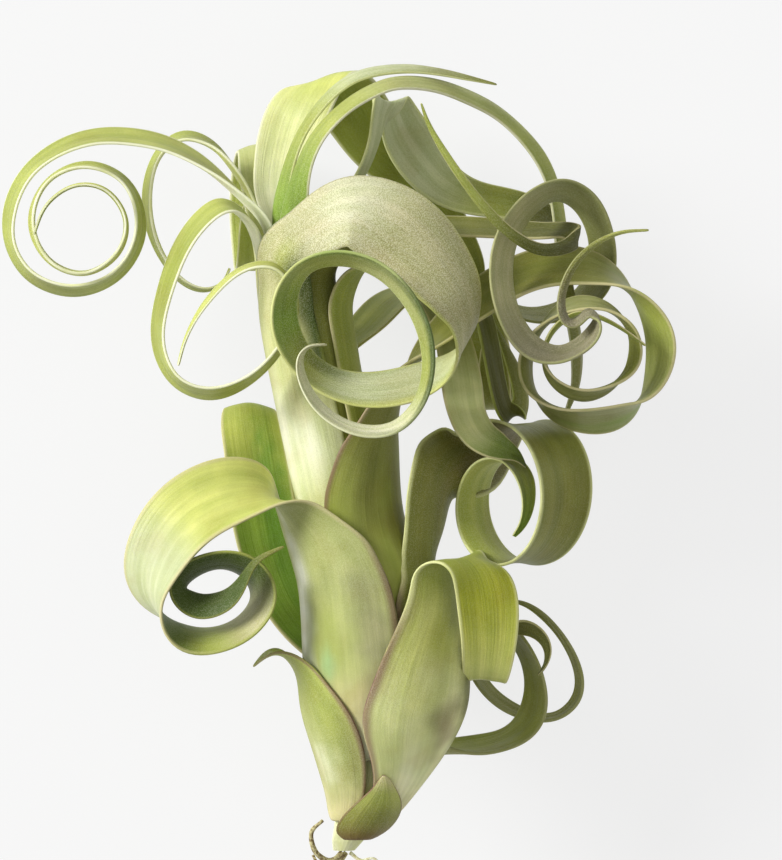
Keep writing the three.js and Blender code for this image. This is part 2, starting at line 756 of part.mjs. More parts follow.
      [-0.5, 66, -8, 9, [0.5, 0.3, -0.8]],
      [1.8, 60.5, -11.5, 11, [0.75, 0.5, -0.4]],
      [5.8, 54, -13.5, 11.5, [0.77, 0.55, -0.3]],
      [10.8, 48.6, -14.5, 10, [0.6, 0.7, -0.4]],
      [17, 46, -15, 8.5, [0.15, 0.85, -0.5]],
      [24, 45, -15, 7.5],
      [30.5, 43, -15.5, 6.5],
      [34.5, 39, -17, 5],
      [33.5, 35, -19.5, 4],
      [30, 33, -21.5, 3],
      [26, 33.5, -22, 1.2],
    ]),
  },
  leaf_hanging_loop: {
    layer: 1,
    sheath: [
      [0, 48, 58],
      [38, 48, 58],
    ],
    blade: route([
      [-12.6, 42.4, 2.8, 5, [0.5, 0, -0.8]],
      [-7, 42.4, 0.6, 5, [0.1, 0.5, -0.8]],
      [0, 41, -2.4, 5.2],
      [7, 37, -6.6, 5.4, [0.3, 0.5, -0.8]],
      [13.5, 31, -9, 5.4],
      [18, 24, -8, 5.8, [0.6, 0.2, -0.75]],
      [19.8, 16, -7, 5.6],
      [21.4, 8, -7, 5.4],
      [22.8, 3.6, -8, 5.2, [0.6, 0.3, -0.7]],
      [25, 3, -10.5, 4.9],
      [26.3, 6, -12.5, 4.7, [0.7, 0, -0.7]],
      [24.8, 12, -13.5, 4.1],
      [22.6, 17, -14, 2.8],
      [20.8, 21, -14.5, 1.2],
    ]),
  },
  leaf_lower_right_ring: {
    bulb: true,
    layer: 3,
    sheath: [
      [-72, 132, 96],
      [-67, 132, 96],
    ],
    blade: route([
      [9, -64.5, -12.5, 12, [-0.6, 0, -0.8]],
      [17, -64, -13, 10.5, [-0.5, 0.2, -0.8]],
      [22.5, -62.5, -12.5, 9.5, [-0.5, 0.1, -0.8]],
      [26.5, -60, -11.5, 9],
      [29, -56, -10.5, 8.5, [-0.6, 0, -0.75]],
      [29.2, -50, -10.5, 8],
      [26.8, -43.5, -12, 7.5],
      [22.5, -39, -14, 7, [0, -0.5, -0.8]],
      [18, -39.5, -16, 6.4],
      [15.5, -44, -17.5, 5.8, [0.5, 0, -0.85]],
      [18, -51, -18.5, 5.2],
      [24, -56, -18.5, 4.6, [0.3, 0.4, -0.85]],
      [32, -58, -18, 4],
      [37, -54.5, -17.5, 3.6, [-0.4, 0.2, -0.85]],
      [38, -49.5, -17.5, 3.2],
      [35.5, -43, -17.5, 2.8],
      [31, -37.5, -17.5, 2.4, [-0.3, -0.4, -0.85]],
      [26.5, -34.5, -17.5, 1.8],
      [22, -34, -18, 1],
    ]),
  },
  leaf_rear_left_curl: {
    layer: 4,
    sheath: [
      [-20, -141, 74],
      [6, -141, 74],
      [24, -141, 74],
    ],
    blade: route([
      [-22.5, 34, -13.5, 11, [-0.95, 0, 0.3]],
      [-24.6, 46, -20, 11, [-1, 0, 0.1]],
      [-25.6, 54.5, -25, 10.5, [-1, 0, 0]],
      [-26.4, 56, -31, 10.5],
      [-27, 52, -37.4, 10],
      [-27.5, 47.5, -39.75, 10, [-1, 0, 0], 0],
      [-27.5, 41.5, -39.75, 10, [-1, 0, 0], 0],
      [-27.5, 36, -37.4, 9, [-1, 0, 0], 10],
      [-27.5, 32, -32.5, 8],
      [-27.5, 34.5, -27.5, 7],
      [-27.5, 40.5, -26, 6],
      [-27.5, 45, -29, 4.5],
      [-27.5, 43.5, -33, 3],
      [-27.5, 39.5, -33.5, 1.2],
    ]),
  },
  leaf_rear_right_curl: {
    layer: 4,
    sheath: [
      [-20, 157, 40],
      [14, 157, 40],
    ],
    blade: route([
      [-5, 20, -14.5, 10, [-0.85, 0, -0.5]],
      [0, 25.5, -20.5, 11, [-0.85, 0, -0.5]],
      [7, 28, -27, 11.5, [-0.9, 0, -0.35]],
      [13.5, 25.5, -34, 11, [-0.97, 0, -0.1]],
      [17.4, 20.5, -38, 10.5, [-1, 0, 0], 10],
      [19.2, 15.5, -39.75, 10, [-1, 0, 0], 0],
      [20, 9.5, -39.75, 10, [-1, 0, 0], 0],
      [20.5, 5.5, -35.5, 9, [-1, 0, 0], 10],
      [20.5, 4.5, -29.5, 8],
      [20.5, 9.5, -26.5, 7],
      [20.5, 15.5, -28, 5.5],
      [20.5, 17, -32, 4],
      [20.5, 13, -34, 2.6],
      [20.5, 10, -33, 1.2],
    ]),
  },
  leaf_rear_lower_curl: {
    bulb: true,
    layer: 3,
    sheath: [
      [-66, 180, 100],
      [-52, 180, 100],
    ],
    blade: route([
      [-3, -44, -20, 14, [-1, 0, 0]],
      [-3, -38, -25, 13],
      [-3, -34.5, -31, 12],
      [-3, -36, -37, 11],
      [-3, -40, -39.75, 10, [-1, 0, 0], 0],
      [-3, -46, -39.75, 10, [-1, 0, 0], 0],
      [-3, -50.5, -37.4, 9, [-1, 0, 0], 10],
      [-3, -52, -33, 8],
      [-3, -49.5, -28, 7],
      [-3, -44.5, -27, 6],
      [-3, -41.5, -30.5, 4.5],
      [-3, -44, -34, 3],
      [-3, -47, -33, 1.2],
    ]),
  },
};

// Old dry roots, left where the plant was pulled from its branch
const ROOTS = {
  root_dry_curl: {
    radius: 0.7,
    points: [
      [-9.8, -84.6, 1],
      [-12, -86, 2.4],
      [-15, -84, 4],
      [-15.8, -80, 5],
      [-13.6, -77.6, 6],
    ],
  },
  root_dry_hook: {
    radius: 0.6,
    points: [
      [-9, -84.6, -0.6],
      [-11, -87, 0.4],
      [-14, -87.5, 1.4],
      [-15.6, -85, 0.4],
    ],
  },
  root_pale: {
    radius: 0.4,
    points: [
      [-8.2, -84.5, 0.2],
      [-6, -86, 0.8],
      [-3.4, -85.6, 1],
      [-1.6, -88, 0.6],
    ],
  },
};

const LEAF_GREEN = 0x9fb65a;
const CORE_CREAM = 0xd9dfb0;
const ROOT_BROWN = 0x8a6b45;

function piece(name, geometry, colour) {
  const material = new THREE.MeshStandardMaterial({ color: colour, roughness: 0.6, metalness: 0 });
  const mesh = new THREE.Mesh(geometry, material);
  mesh.name = name;
  return mesh;
}

const plant = new THREE.Group();
plant.add(piece("core", coreGeometry(), CORE_CREAM));
for (const [name, leaf] of Object.entries(LEAVES)) {
  plant.add(piece(name, leafGeometry(leaf), LEAF_GREEN));
}
for (const [name, { points, radius }] of Object.entries(ROOTS)) {
  plant.add(piece(name, rootGeometry(points, radius), ROOT_BROWN));
}
plant.position.set(-MIDDLE_X, -MIDDLE_Y, -FLOOR_Z);

export default plant;
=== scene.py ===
# Air plant with curled leaves, lying on its back, seen from straight above.
# Metres in Blender. The tables below are in millimetres, measured from the stem's own zero, with
# the stem's axis at height 0 and the surface 40 mm below it.
import math

import bmesh
import bpy
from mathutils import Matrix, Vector, noise


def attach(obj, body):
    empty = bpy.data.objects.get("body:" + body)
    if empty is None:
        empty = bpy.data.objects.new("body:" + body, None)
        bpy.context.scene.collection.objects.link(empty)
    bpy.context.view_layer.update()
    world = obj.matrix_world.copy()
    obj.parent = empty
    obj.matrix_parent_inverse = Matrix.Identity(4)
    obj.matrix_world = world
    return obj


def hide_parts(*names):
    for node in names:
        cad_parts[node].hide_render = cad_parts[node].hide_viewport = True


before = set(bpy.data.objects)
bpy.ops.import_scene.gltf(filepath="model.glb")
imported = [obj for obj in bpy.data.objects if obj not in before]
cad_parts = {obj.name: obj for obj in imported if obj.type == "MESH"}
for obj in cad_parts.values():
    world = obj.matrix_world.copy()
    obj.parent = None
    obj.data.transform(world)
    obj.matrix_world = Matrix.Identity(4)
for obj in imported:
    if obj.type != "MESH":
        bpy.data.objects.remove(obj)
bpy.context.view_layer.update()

# Driving dimensions, in millimetres unless a comment says otherwise
MM = 0.001  # metres in a millimetre
CM = 10  # millimetres in a centimetre
EYE_HEIGHT = 900  # the camera's height over the stem's axis
VIEW_TALL = 172  # how much of the stem's plane the picture's long side takes in
SENSOR = 36  # how wide the camera's sensor is
FLOOR_Z = -40
MIDDLE = Vector((-10.23, -7.57, FLOOR_Z))  # the frame's origin, from the stem's own zero
SHEATH_PITCH = 1.35
BLADE_THICKNESS = 0.9
MARGIN_SHARE = 0.66  # a margin's thickness against the middle's
TIP_SHARE = 0.5  # a tip's thickness against the rest of the leaf's
THINNING_START = 0.8  # where along a leaf it starts to thin
TIP_START = 0.93  # where along a leaf its point starts to narrow
POINT_SHARE = 0.25  # the point's width against its full width
FOOT_LENGTH = 5  # how far up from its foot a leaf is rounded off
FOOT_SHARE = 0.45  # its foot's width against its full width
FLATTEST_BEND = 0.02  # radians; a flatter row is built with this bend
CHANNEL = 34  # how far a free blade is bent across, in degrees
CHANNEL_ROWS = 3  # how many rows a blade takes from its sheath's bend to its own

# How a leaf's surface waves in and out
WAVE_HEIGHT = 0.25
WAVES_ACROSS = 1.5  # to half a leaf's width
WAVES_ALONG = 0.06  # to a millimetre of its length
WAVES_GROW = 6  # they have their full height from a sixth of the length on
WAVE_SEED = 7.3  # how far apart two leaves' waves are taken

# The meshes
ROW_STEP = 1.5  # length of a leaf between two rows of the mesh
FEWEST_ROWS = 4
BULB_CELLS = 26  # faces across a bulb leaf
NECK_CELLS = 14
SMOOTHINGS = 3  # how often a leaf's rows are evened out
NUMBERS = ("across", "run", "thick", "outer scales", "hollow scales", "seed")
TINTS = ("outer tint", "hollow tint", "margin tint")
ROOT_RINGS = 40
ROOT_SIDES = 10
ROOT_TIP_SHARE = 0.5  # a root's radius at its end against the one at its start
ROOT_ROUGHNESS = 0.25  # how much of its radius comes and goes
ROOT_ROUGH_SPOTS = (9, 5, 1.7)  # along a root, from root to root, and where that starts

# The surface and the light, in metres and watts
FLOOR_REACH = 6
NEAREST_SEEN = 0.05
FARTHEST_SEEN = 20
ROOM_COLOUR = (1.0, 0.995, 0.98, 1)
ROOM_STRENGTH = 0.36
LAMPS = {
    "big light overhead": {"at": (0, 0, 2.2), "size": 2.5, "power": 9},
    "window at the left": {"at": (-2.3, 1.2, 1.6), "size": 1.4, "power": 100},
}

# The stem's axis: y, x, then the radii that the neck's and the bulb's sheaths are counted from
STEM = [
    (-86, -10.2, 0.5, -2.4), (-82, -8.6, 1.0, -0.8), (-78, -6.8, 2.0, 1.0),
    (-74, -5.2, 3.0, 2.6), (-64, -2.8, 4.2, 7.8), (-56, -1.9, 4.6, 11.2),
    (-48, -2.2, 4.6, 11.6), (-32, -3.6, 4.6, 11.2), (-24, -6.4, 4.6, 10.4),
    (-16, -9.0, 4.6, 10.4), (8, -14.4, 4.3, 14.0), (24, -17.4, 4.4, 12.0),
    (40, -20.4, 2.8, 8.4),
]
SHEATH_ROWS = [-78, -74, -69, -64, -60, -56, -48, -40, -32, -24, -16, -8, 0, 8, 16, 24, 32]

# Old dry roots: radius and the points each one runs through
ROOTS = {
    "root_dry_curl": (0.7, [(-9.8, -84.6, 1), (-12, -86, 2.4), (-15, -84, 4), (-15.8, -80, 5),
                            (-13.6, -77.6, 6)]),
    "root_dry_hook": (0.6, [(-9, -84.6, -0.6), (-11, -87, 0.4), (-14, -87.5, 1.4), (-15.6, -85, 0.4)]),
    "root_pale": (0.4, [(-8.2, -84.5, 0.2), (-6, -86, 0.8), (-3.4, -85.6, 1), (-1.6, -88, 0.6)]),
}

# The leaves. A leaf's layer counts the sheaths from the stem outwards, and a bulb leaf is counted
# from the bulb's own radii. A sheath's stations are y, the azimuth of its middle and how far it
# wraps round, in degrees. A blade's rows are where its middle looks to be (x, y), its height z,
# its width, then the way across it and its bend where they change. A coil carries a blade on,
# round a middle that wanders from first to last, with angles in degrees and each pair of numbers
# at its start and its end. Smoothings stands where a leaf has its own number of them.
LEAVES = {
    "leaf_basal_scale": {
        "layer": 6, "bulb": True,
        "sheath": [(-81.5, 18, 110), (-76, 20, 84), (-71.5, 16, 28)],
        "blade": [(-1.4, -69, 12.6, 1.2, (1, 0, -0.3))],
    },
    "leaf_lower_left": {
        "layer": 4, "bulb": True,
        "sheath": [(-78, -46, 96), (-70, -52, 95), (-61, -60, 91), (-54, -66, 78), (-48, -76, 56)],
        "blade": [(-22, -44.3, 6, 6.5, (0.3, 0, 0.95)), (-25, -45, 7, 4), (-27.6, -47.4, 7, 1.2)],
    },
    "leaf_lower_right": {
        "layer": 5, "bulb": True, "smoothings": 10,
        "sheath": [
            (-77, 58, 100), (-70, 55, 100), (-58, 45, 120), (-50, 50, 110), (-44, 54, 102),
            (-36, 66, 96), (-31, 70, 86), (-28, 74, 74),
        ],
        "blade": [
            (12.9, -24.8, 11, 13, (0.6, -0.1, -0.8), 0),
            (16.4, -26.4, 13.8, 12.4, (0.78, -0.25, -0.57), -40),
            (19, -30.2, 14.4, 12.6, (0.95, -0.2, -0.25), -20),
            (19.4, -35.6, 13, 12.8, (0.97, -0.1, -0.2), 16), (19.8, -42, 11, 11.4),
            (19, -48, 7, 10, (0.97, -0.1, -0.2)), (18.5, -51, 2, 9), (18.7, -48.5, -3, 8),
            (19.5, -43, -6, 7, (0.97, 0.1, 0.2)), (23, -39, -6, 5.5, (0.6, 0.6, 0.5)),
            (27.5, -38.8, -5, 4, (0.2, 0.8, 0.5)), (31, -41.5, -5, 3),
            (31.8, -44.6, -5, 2.2, (0.8, 0, 0.5)), (31, -47.2, -5, 1.6), (29.4, -49, -5, 1),
        ],
    },
    "leaf_front_left": {
        "layer": 3, "bulb": True,
        "sheath": [
            (-66, -50, 130), (-54, -50, 140), (-34, -52, 136), (-22, -48, 122), (-19.5, -52, 118),
            (-17, -60, 92),
        ],
        "blade": [
            (-24, -13, 8.5, 17, (0.45, -0.5, 0.75)), (-32.6, -13, 11, 17, (0.14, -0.82, 0.55)),
            (-41.4, -17.6, 12.5, 17, (0.42, -0.75, 0.5)),
            (-47.2, -26.8, 13.5, 15.5, (0.66, -0.48, 0.58)), (-47.4, -34.6, 13, 14, (0.45, -0.3, 0.84)),
            (-40.5, -41.5, 12, 13, (-0.05, -0.42, 0.9)), (-31, -40, 11.5, 12, (0.35, -0.25, 0.9)),
            (-26, -34, 11.5, 11, (0.5, 0.1, 0.86)), (-28, -28.4, 12, 9.6, (0.35, 0.4, 0.85)),
            (-34, -26.4, 12.5, 8.6, (0.1, 0.4, 0.9)), (-40.6, -28.8, 13, 7.6, (-0.35, 0.3, 0.88)),
            (-42.4, -32, 13.5, 7, (-0.4, -0.3, 0.85)), (-38.5, -35.2, 14, 6.6, (0, -0.75, 0.66)),
            (-33, -34, 15.5, 5.6, (0.3, -0.6, 0.7)), (-30, -30.8, 17, 4),
            (-27.2, -26.2, 19, 2.2, (0.3, -0.5, 0.75)), (-21.4, -23.3, 20, 1),
        ],
    },
    "leaf_back_left": {
        "layer": 2, "bulb": True,
        "sheath": [(-64, -155, 58), (-48, -155, 58)],
        "blade": [
            (-13.5, -43, -13, 12, (-0.9, 0, 0.4)), (-20, -35, -13.5, 11.5, (-0.97, 0, 0.2)),
            (-24, -25, -13.5, 13), (-26, -14, -13.5, 14, (-0.98, 0, 0.15), 44),
            (-27.2, -5, -14, 13, (-0.97, 0, 0.2), 30), (-28.1, 1.6, -15.6, 12.2, (-0.98, 0, 0.1), -20),
            (-28.6, 5.4, -19, 10.8, (-0.98, 0, 0), -60),
            (-29.2, 2.5, -23.5, 7.6, (-0.98, 0, -0.1), -30), (-28.6, -6, -26, 6.6),
            (-27.4, -14, -26, 6.2), (-27, -20, -23.5, 5.2), (-27.2, -22, -20, 3.6),
            (-27.4, -18.5, -18, 1.2),
        ],
    },
    "leaf_right_curl": {
        "layer": 1, "bulb": True,
        "sheath": [
            (-60, 20, 140), (-34, 30, 145), (-14, 36, 112), (-8, 42, 92), (-3, 50, 82), (2, 60, 60),
        ],
        "blade": [
            (2.5, 10, 9, 13, (0.3, 0.1, -0.9)), (8, 16.5, 8.5, 12.5, (0.1, 0.5, -0.85)),
            (14.5, 23, 7.5, 12, (0, 0.65, -0.75)), (22, 28.5, 5, 11.5),
            (30, 32, 3.5, 11, (-0.05, 0.75, -0.65)), (38, 32.5, 2.5, 11, (-0.1, 0.7, -0.65)),
            (45, 30, 2, 10.5, (-0.3, 0.55, -0.75)), (50.4, 24.5, 2, 10),
            (53.6, 17.5, 2.5, 9.6, (-0.58, 0, -0.8)), (52.2, 9.5, 3, 9.8),
            (48, 4, 3.5, 10, (-0.3, -0.55, -0.75)), (40.5, 2.2, 6, 8.6, (0, -0.6, -0.8)),
            (33, 3.6, 7, 8), (28, 8.5, 7, 7.5, (0.35, -0.2, -0.9)),
            (27.5, 15.5, 7.5, 7, (0.4, 0, -0.9)), (31, 21.5, 8, 6.5),
            (36.5, 25, 8.5, 6, (0, 0.5, -0.85)), (43, 24.5, 9, 5.5), (48, 20, 9, 5),
            (48.4, 13.5, 9, 5.2, (-0.5, 0, -0.86)), (44.6, 9, 9.4, 5),
            (38.5, 7, 9.8, 4.8, (0, -0.5, -0.86)), (33, 9.4, 10, 4.2), (30.5, 14, 10, 3),
            (32.5, 20, 10.5, 2.6), (38, 23.5, 10.8, 2.2), (45, 21, 11, 1.6), (51, 16.8, 11, 1),
        ],
    },
    "leaf_right_roll": {
        "layer": 2, "bulb": True,
        "sheath": [(-64, 85, 120), (-46, 80, 125), (-34, 80, 124), (-28, 85, 100)],
        "blade": [
            (8.4, -21, 3.2, 14.2, (0.58, 0, -0.81), 76), (8.8, -14, 3, 15.4, (0.6, 0, -0.8), 60),
            (11, -7.6, 1.5, 16.4, (0.68, 0, -0.73), 50),
        ],
        "coil": {
            "first": (26.8, -13.4, 1.5),
            "last": (21.4, -15.8, 6.6),
            "axis": (0.75, 0, -0.66),
            "from": 145,
            "to": -410,
            "radius": (15.4, 7),
            "width": (18, 2.4),
            "rows": 22,
        },
    },
    "leaf_ribbon": {
        "layer": 4,
        "sheath": [(-20, 74, 88), (6, 74, 88), (24, 72, 84)],
        "blade": [
            (-7, 30, 3, 11, (0.3, 0, -0.95)), (-3.5, 33.5, 3, 11, (0.1, 0.5, -0.85)),
            (2, 32.5, 2, 10.5, (0, 0.65, -0.75)), (8, 26, -1, 10, (0.45, 0.5, -0.75)),
            (12, 18.5, -3.5, 9.5, (0.7, 0.2, -0.65)), (13.8, 10, 1, 9.5, (0.85, 0, -0.5)),
            (14.8, 3.5, 8, 8.5, (0.85, 0.1, -0.5)), (17.6, -1.5, 12.5, 8, (0.7, 0.5, -0.5)),
            (21.5, -3.5, 13.5, 6.5, (0.3, 0.8, -0.5)), (25, -5, 12.5, 4), (27, -7.5, 11, 1.5),
        ],
    },
    "leaf_front_curl": {
        "layer": 4,
        "sheath": [(-20, -38, 116), (6, -38, 116), (22, -36, 100)],
        "blade": [
            (-22, 28, 9.5, 13, (0.85, -0.1, 0.4)), (-22.6, 34, 13, 13.5, (0.8, -0.4, 0.45)),
            (-18.6, 38.5, 16, 15, (0.3, -0.75, 0.6)), (-9.2, 44.8, 18, 18, (0.15, -0.8, 0.58)),
            (-1.6, 42.8, 18.5, 19, (-0.15, -0.88, 0.45)), (4.8, 38.2, 19, 19, (-0.2, -0.9, 0.4)),
            (10.4, 32, 19.5, 17.5, (-0.22, -0.84, 0.5)), (13.8, 26.4, 20, 15.5, (-0.3, -0.75, 0.58)),
            (15.2, 20.6, 20, 14, (-0.35, -0.5, 0.78)), (12.4, 13, 20.5, 12.5, (-0.1, -0.5, 0.85)),
            (3.4, 8.4, 21.5, 11.5, (0, -0.66, 0.75)), (-8.2, 7.6, 22.5, 10, (-0.1, -0.66, 0.75)),
            (-17, 12, 24, 9.4, (-0.45, -0.36, 0.82)), (-21.6, 20, 25.5, 9, (-0.6, 0, 0.8)),
            (-21.2, 28, 27, 8, (-0.46, 0.25, 0.86)), (-17, 33.4, 28.5, 6.8, (-0.2, 0.36, 0.92)),
            (-9.2, 34.8, 29.5, 6.4, (0, 0.42, 0.91)), (-1.2, 31.8, 30.5, 6.2, (0.24, 0.34, 0.91)),
            (4.8, 25, 31.5, 6, (0.38, 0.18, 0.91)), (7.8, 16, 32.5, 5.8, (0.42, 0, 0.91)),
            (6.6, 6.4, 33, 5.4, (0.36, -0.24, 0.9)), (0.8, 0, 33.5, 5, (0.18, -0.42, 0.89)),
            (-7.2, -0.2, 34, 4.6, (-0.1, -0.48, 0.87)), (-14.2, 4, 34.5, 4.2, (-0.42, -0.32, 0.85)),
            (-17.8, 10, 35, 3.6, (-0.62, 0, 0.78)), (-18.2, 14.6, 35.2, 2.8), (-16.2, 16.8, 35.4, 1.9),
            (-12.8, 17, 35.4, 0.9),
        ],
    },
    "leaf_left_loop": {
        "layer": 3,
        "sheath": [(-14, -88, 96), (30, -80, 90)],
        "blade": [
            (-27.4, 38, 3.6, 8.8, (0.1, -0.1, 0.95)), (-30, 42.8, 8.5, 9, (0.3, -0.35, 0.88)),
            (-33.8, 44.6, 11, 9), (-40, 39, 11, 9.1, (0.4, -0.25, 0.88)),
            (-44.6, 28.5, 11.5, 8.4, (0.45, 0, 0.89)), (-46.4, 18, 12, 7.5),
            (-43, 10, 13, 7, (0.2, 0.2, 0.92)), (-36, 7.4, 13.5, 6.5, (0, 0.35, 0.92)),
            (-28, 10.6, 14, 6), (-22, 17, 15, 5.5, (-0.2, 0.1, 0.95)), (-19, 25, 17, 5),
            (-23, 32.6, 19.5, 4.4, (0.1, -0.3, 0.95)), (-30, 32, 19.5, 3.8),
            (-37, 25.4, 19.5, 3, (0.3, -0.2, 0.9)), (-41, 18.5, 19.5, 2), (-42.6, 12.8, 19.5, 1),
        ],
    },
    "leaf_top_left_ring": {
        "layer": 2,
        "sheath": [(-6, -80, 76), (34, -80, 76)],
        "blade": [
            (-25, 40.5, 0.8, 7.6, (0.2, 0, 0.95)), (-30.6, 46.8, 0.6, 8.2, (0.3, -0.3, 0.9)),
            (-38.2, 53.2, 0, 9, (0.2, -0.4, 0.9)), (-45.2, 56.8, 0, 8.6),
            (-52.2, 58.2, 0.5, 8.2, (0.1, -0.45, 0.87)), (-59.2, 58.2, 1, 8),
            (-66.2, 56, 1.5, 7.8, (0.25, -0.4, 0.87)), (-72.4, 51.4, 2, 7.6),
            (-75.8, 44.6, 2.5, 7.4, (0.4, -0.1, 0.87)), (-75.8, 37, 3, 7.2),
            (-71.6, 30.6, 3.5, 7, (0.2, 0.2, 0.9)), (-63.2, 28, 4, 6.6, (0, 0.3, 0.93)),
            (-54.4, 31.6, 5, 6.2), (-50.2, 40.4, 6, 5.6, (-0.3, 0, 0.93)), (-53, 49.6, 7, 5.2),
            (-61.2, 53, 8, 4.8, (0, -0.3, 0.93)), (-69, 49.6, 8.6, 4.4),
            (-72, 41.6, 9.2, 4, (0.3, 0, 0.93)), (-68.4, 33.8, 9.8, 3.6), (-61.2, 31.2, 10.4, 3.2),
            (-54.6, 35.4, 11, 2.8, (-0.2, 0.1, 0.95)), (-53, 42, 11.5, 2.5),
            (-57, 48, 12, 2.2, (0, -0.2, 0.95)), (-63.2, 49, 12.5, 1.8), (-69, 45, 13, 1.4),
            (-71.4, 39, 13.4, 0.9),
        ],
    },
    "leaf_upper_left_ring": {
        "layer": 2,
        "sheath": [(-6, -154, 72), (34, -154, 72)],
        "blade": [
            (-23.4, 40, -9.6, 7.6, (-0.5, 0, 0.8)), (-28, 46.5, -12.6, 8, (0.1, -0.2, 0.95)),
            (-31.8, 52.4, -12.5, 7.8, (0.25, -0.3, 0.9)), (-36.2, 57, -13, 7.4),
            (-42, 58.6, -13, 7, (0.1, -0.35, 0.9)), (-46.8, 54.4, -13, 6.4),
            (-48.6, 46, -13, 5.8, (0.35, 0, 0.93)), (-46.8, 37, -13, 5),
            (-42, 30, -12.5, 4.2, (0.1, 0.3, 0.93)), (-37, 28, -12, 3.2), (-33.5, 29.6, -12, 2.2),
            (-32.2, 32.4, -12, 1),
        ],
    },
    "leaf_tall_wide": {
        "layer": 1,
        "sheath": [(0, -166, 66), (38, -166, 66)],
        "blade": [
            (-22.4, 46, -7, 10, (0.97, 0.05, 0.1)), (-21.2, 55, -7.4, 12.5, (0.97, 0.1, 0.15)),
            (-18.2, 64.6, -8.4, 13.4, (0.95, 0.2, 0.2), 0),
            (-14, 70.4, -11.5, 13.2, (0.9, 0.33, 0.25), -70),
            (-10.6, 69, -15.5, 14.4, (0.86, 0.42, 0.25), -50),
            (-6.5, 63, -18.5, 14, (0.8, 0.55, 0.2), 0), (-2.5, 57, -20, 13, (0.78, 0.6, 0.15)),
            (3, 52, -21.3, 11.6), (8, 46.5, -22, 9.5), (13, 39.5, -23.5, 7), (16.5, 33, -25, 5),
            (17.5, 28, -27, 3), (16, 24.5, -28.5, 1.2),
        ],
    },
    "leaf_top_thin": {
        "layer": 1,
        "sheath": [(0, -24, 72), (38, -24, 72)],
        "blade": [
            (-22.6, 44, 3, 5.6, (0.6, 0, 0.75)), (-21.6, 50, 3.2, 5.4, (0.4, 0, 0.9)),
            (-18.4, 59.4, 3.8, 5.4, (0.3, -0.2, 0.93)), (-12, 67.6, 5, 5.2),
            (-6.2, 71.3, 4, 4.8, (0.1, -0.4, 0.9)), (3.2, 72.5, 2.6, 4), (10.2, 71.7, 1.8, 3.2),
            (15.8, 70.4, 1.5, 2.2), (21.2, 69, 1, 1),
        ],
    },
    "leaf_long_arch": {
        "layer": 2,
        "sheath": [(-6, 2, 74), (34, 2, 74)],
        "blade": [
            (-19.8, 41, 7.5, 7.5, (0.8, 0, 0.5)), (-18.6, 50.6, 9, 7, (0.5, -0.1, 0.85)),
            (-15.2, 58.6, 9.5, 6.6, (0.3, -0.3, 0.9)), (-9.6, 64.6, 9, 6.4),
            (-3.8, 68.2, 8, 6.2, (0.1, -0.45, 0.87)), (0.8, 69.8, 7, 6), (8, 69.4, 4, 6),
            (15, 67, 1, 5.8, (-0.2, -0.4, 0.87)), (22, 63.4, -3, 5.6),
            (29.2, 56, -6, 5.4, (-0.45, -0.2, 0.87)), (32.4, 49.6, -8, 5.2),
            (33.8, 43, -9, 5, (-0.5, 0, 0.87)), (34.4, 36, -10, 4.8), (35.8, 26, -8, 5.2),
            (37.4, 17, -8.5, 5, (-0.5, 0, 0.87)), (37.2, 9, -10, 4.4), (35.6, 4.6, -11, 3),
            (34.4, 1.6, -11.5, 1),
        ],
    },
    "leaf_hook": {
        "layer": 3,
        "sheath": [(-14, 30, 90), (30, 34, 86)],
        "blade": [
            (-9, 35.5, 8, 8.5, (0.3, 0, -0.9)), (-2, 38.8, 7, 8, (0, 0.5, -0.85)),
            (6, 40.2, 4.5, 7.5, (0, 0.6, -0.8)), (14, 40.4, 2, 7), (22, 40, 0.5, 6.5, (0, 0.6, -0.8)),
            (30, 39.5, 1, 5.5), (35.5, 39.8, 3.5, 4.6, (0.1, 0.6, -0.7)), (37.4, 38.6, 6.5, 3.8),
            (35, 36.6, 10, 2.9, (0.1, 0.9, -0.3)), (30, 36, 14, 2.5),
            (25, 38.5, 17.5, 2.2, (0.6, 0.7, 0.2)), (20, 43, 19, 2), (15.5, 48.5, 19, 1.8),
            (11, 55, 18.5, 1.5), (7.5, 61, 18, 1.2), (6, 65.4, 17.5, 0.8),
        ],
    },
    "leaf_right_ring": {
        "layer": 2,
        "sheath": [(-6, 92, 72), (34, 92, 72)],
        "blade": [
            (-8, 38, -4, 9, (0.3, 0.1, -0.9)), (0, 36.5, -10, 9, (0, 0.4, -0.9)), (9, 32, -16, 9),
            (18, 27, -19, 9), (27, 22.5, -19, 9), (36, 24, -16, 9, (-0.3, 0.3, -0.9)),
            (42, 30, -10, 9, (-0.5, 0, -0.85)), (42.5, 38.5, -4, 8.5),
            (39, 46, 1, 8, (-0.35, -0.4, -0.85)), (33.5, 48.5, 5, 7.5, (0, -0.5, -0.85)),
            (27, 45, 9, 7.8, (0.4, -0.3, -0.85)), (22.5, 38, 12, 8.2, (0.55, 0, -0.83)),
            (21.5, 30, 13.5, 8.4, (0.55, 0.1, -0.82)), (23.5, 22, 14.5, 8, (0.5, 0.3, -0.8)),
            (28, 16, 15.5, 7.5, (0.3, 0.6, -0.75)), (34, 14.5, 16, 7),
            (40, 18, 16, 6.5, (-0.4, 0.3, -0.85)), (41.6, 22.3, 16, 5), (39.5, 23.8, 16.3, 4),
            (37, 21.4, 16.8, 3, (0.2, 0.6, -0.75)), (35, 21.8, 17.2, 2.6, (0.7, 0.2, -0.7)),
            (34, 25.5, 17.5, 2.2), (36, 32, 17.5, 2), (40.5, 37, 17.5, 1.7, (0.5, -0.5, -0.6)),
            (46, 39.6, 17, 1.3), (51.6, 40, 16.5, 0.8),
        ],
    },
    "leaf_wedge": {
        "layer": 1,
        "sheath": [(0, 114, 62), (38, 114, 62)],
        "blade": [
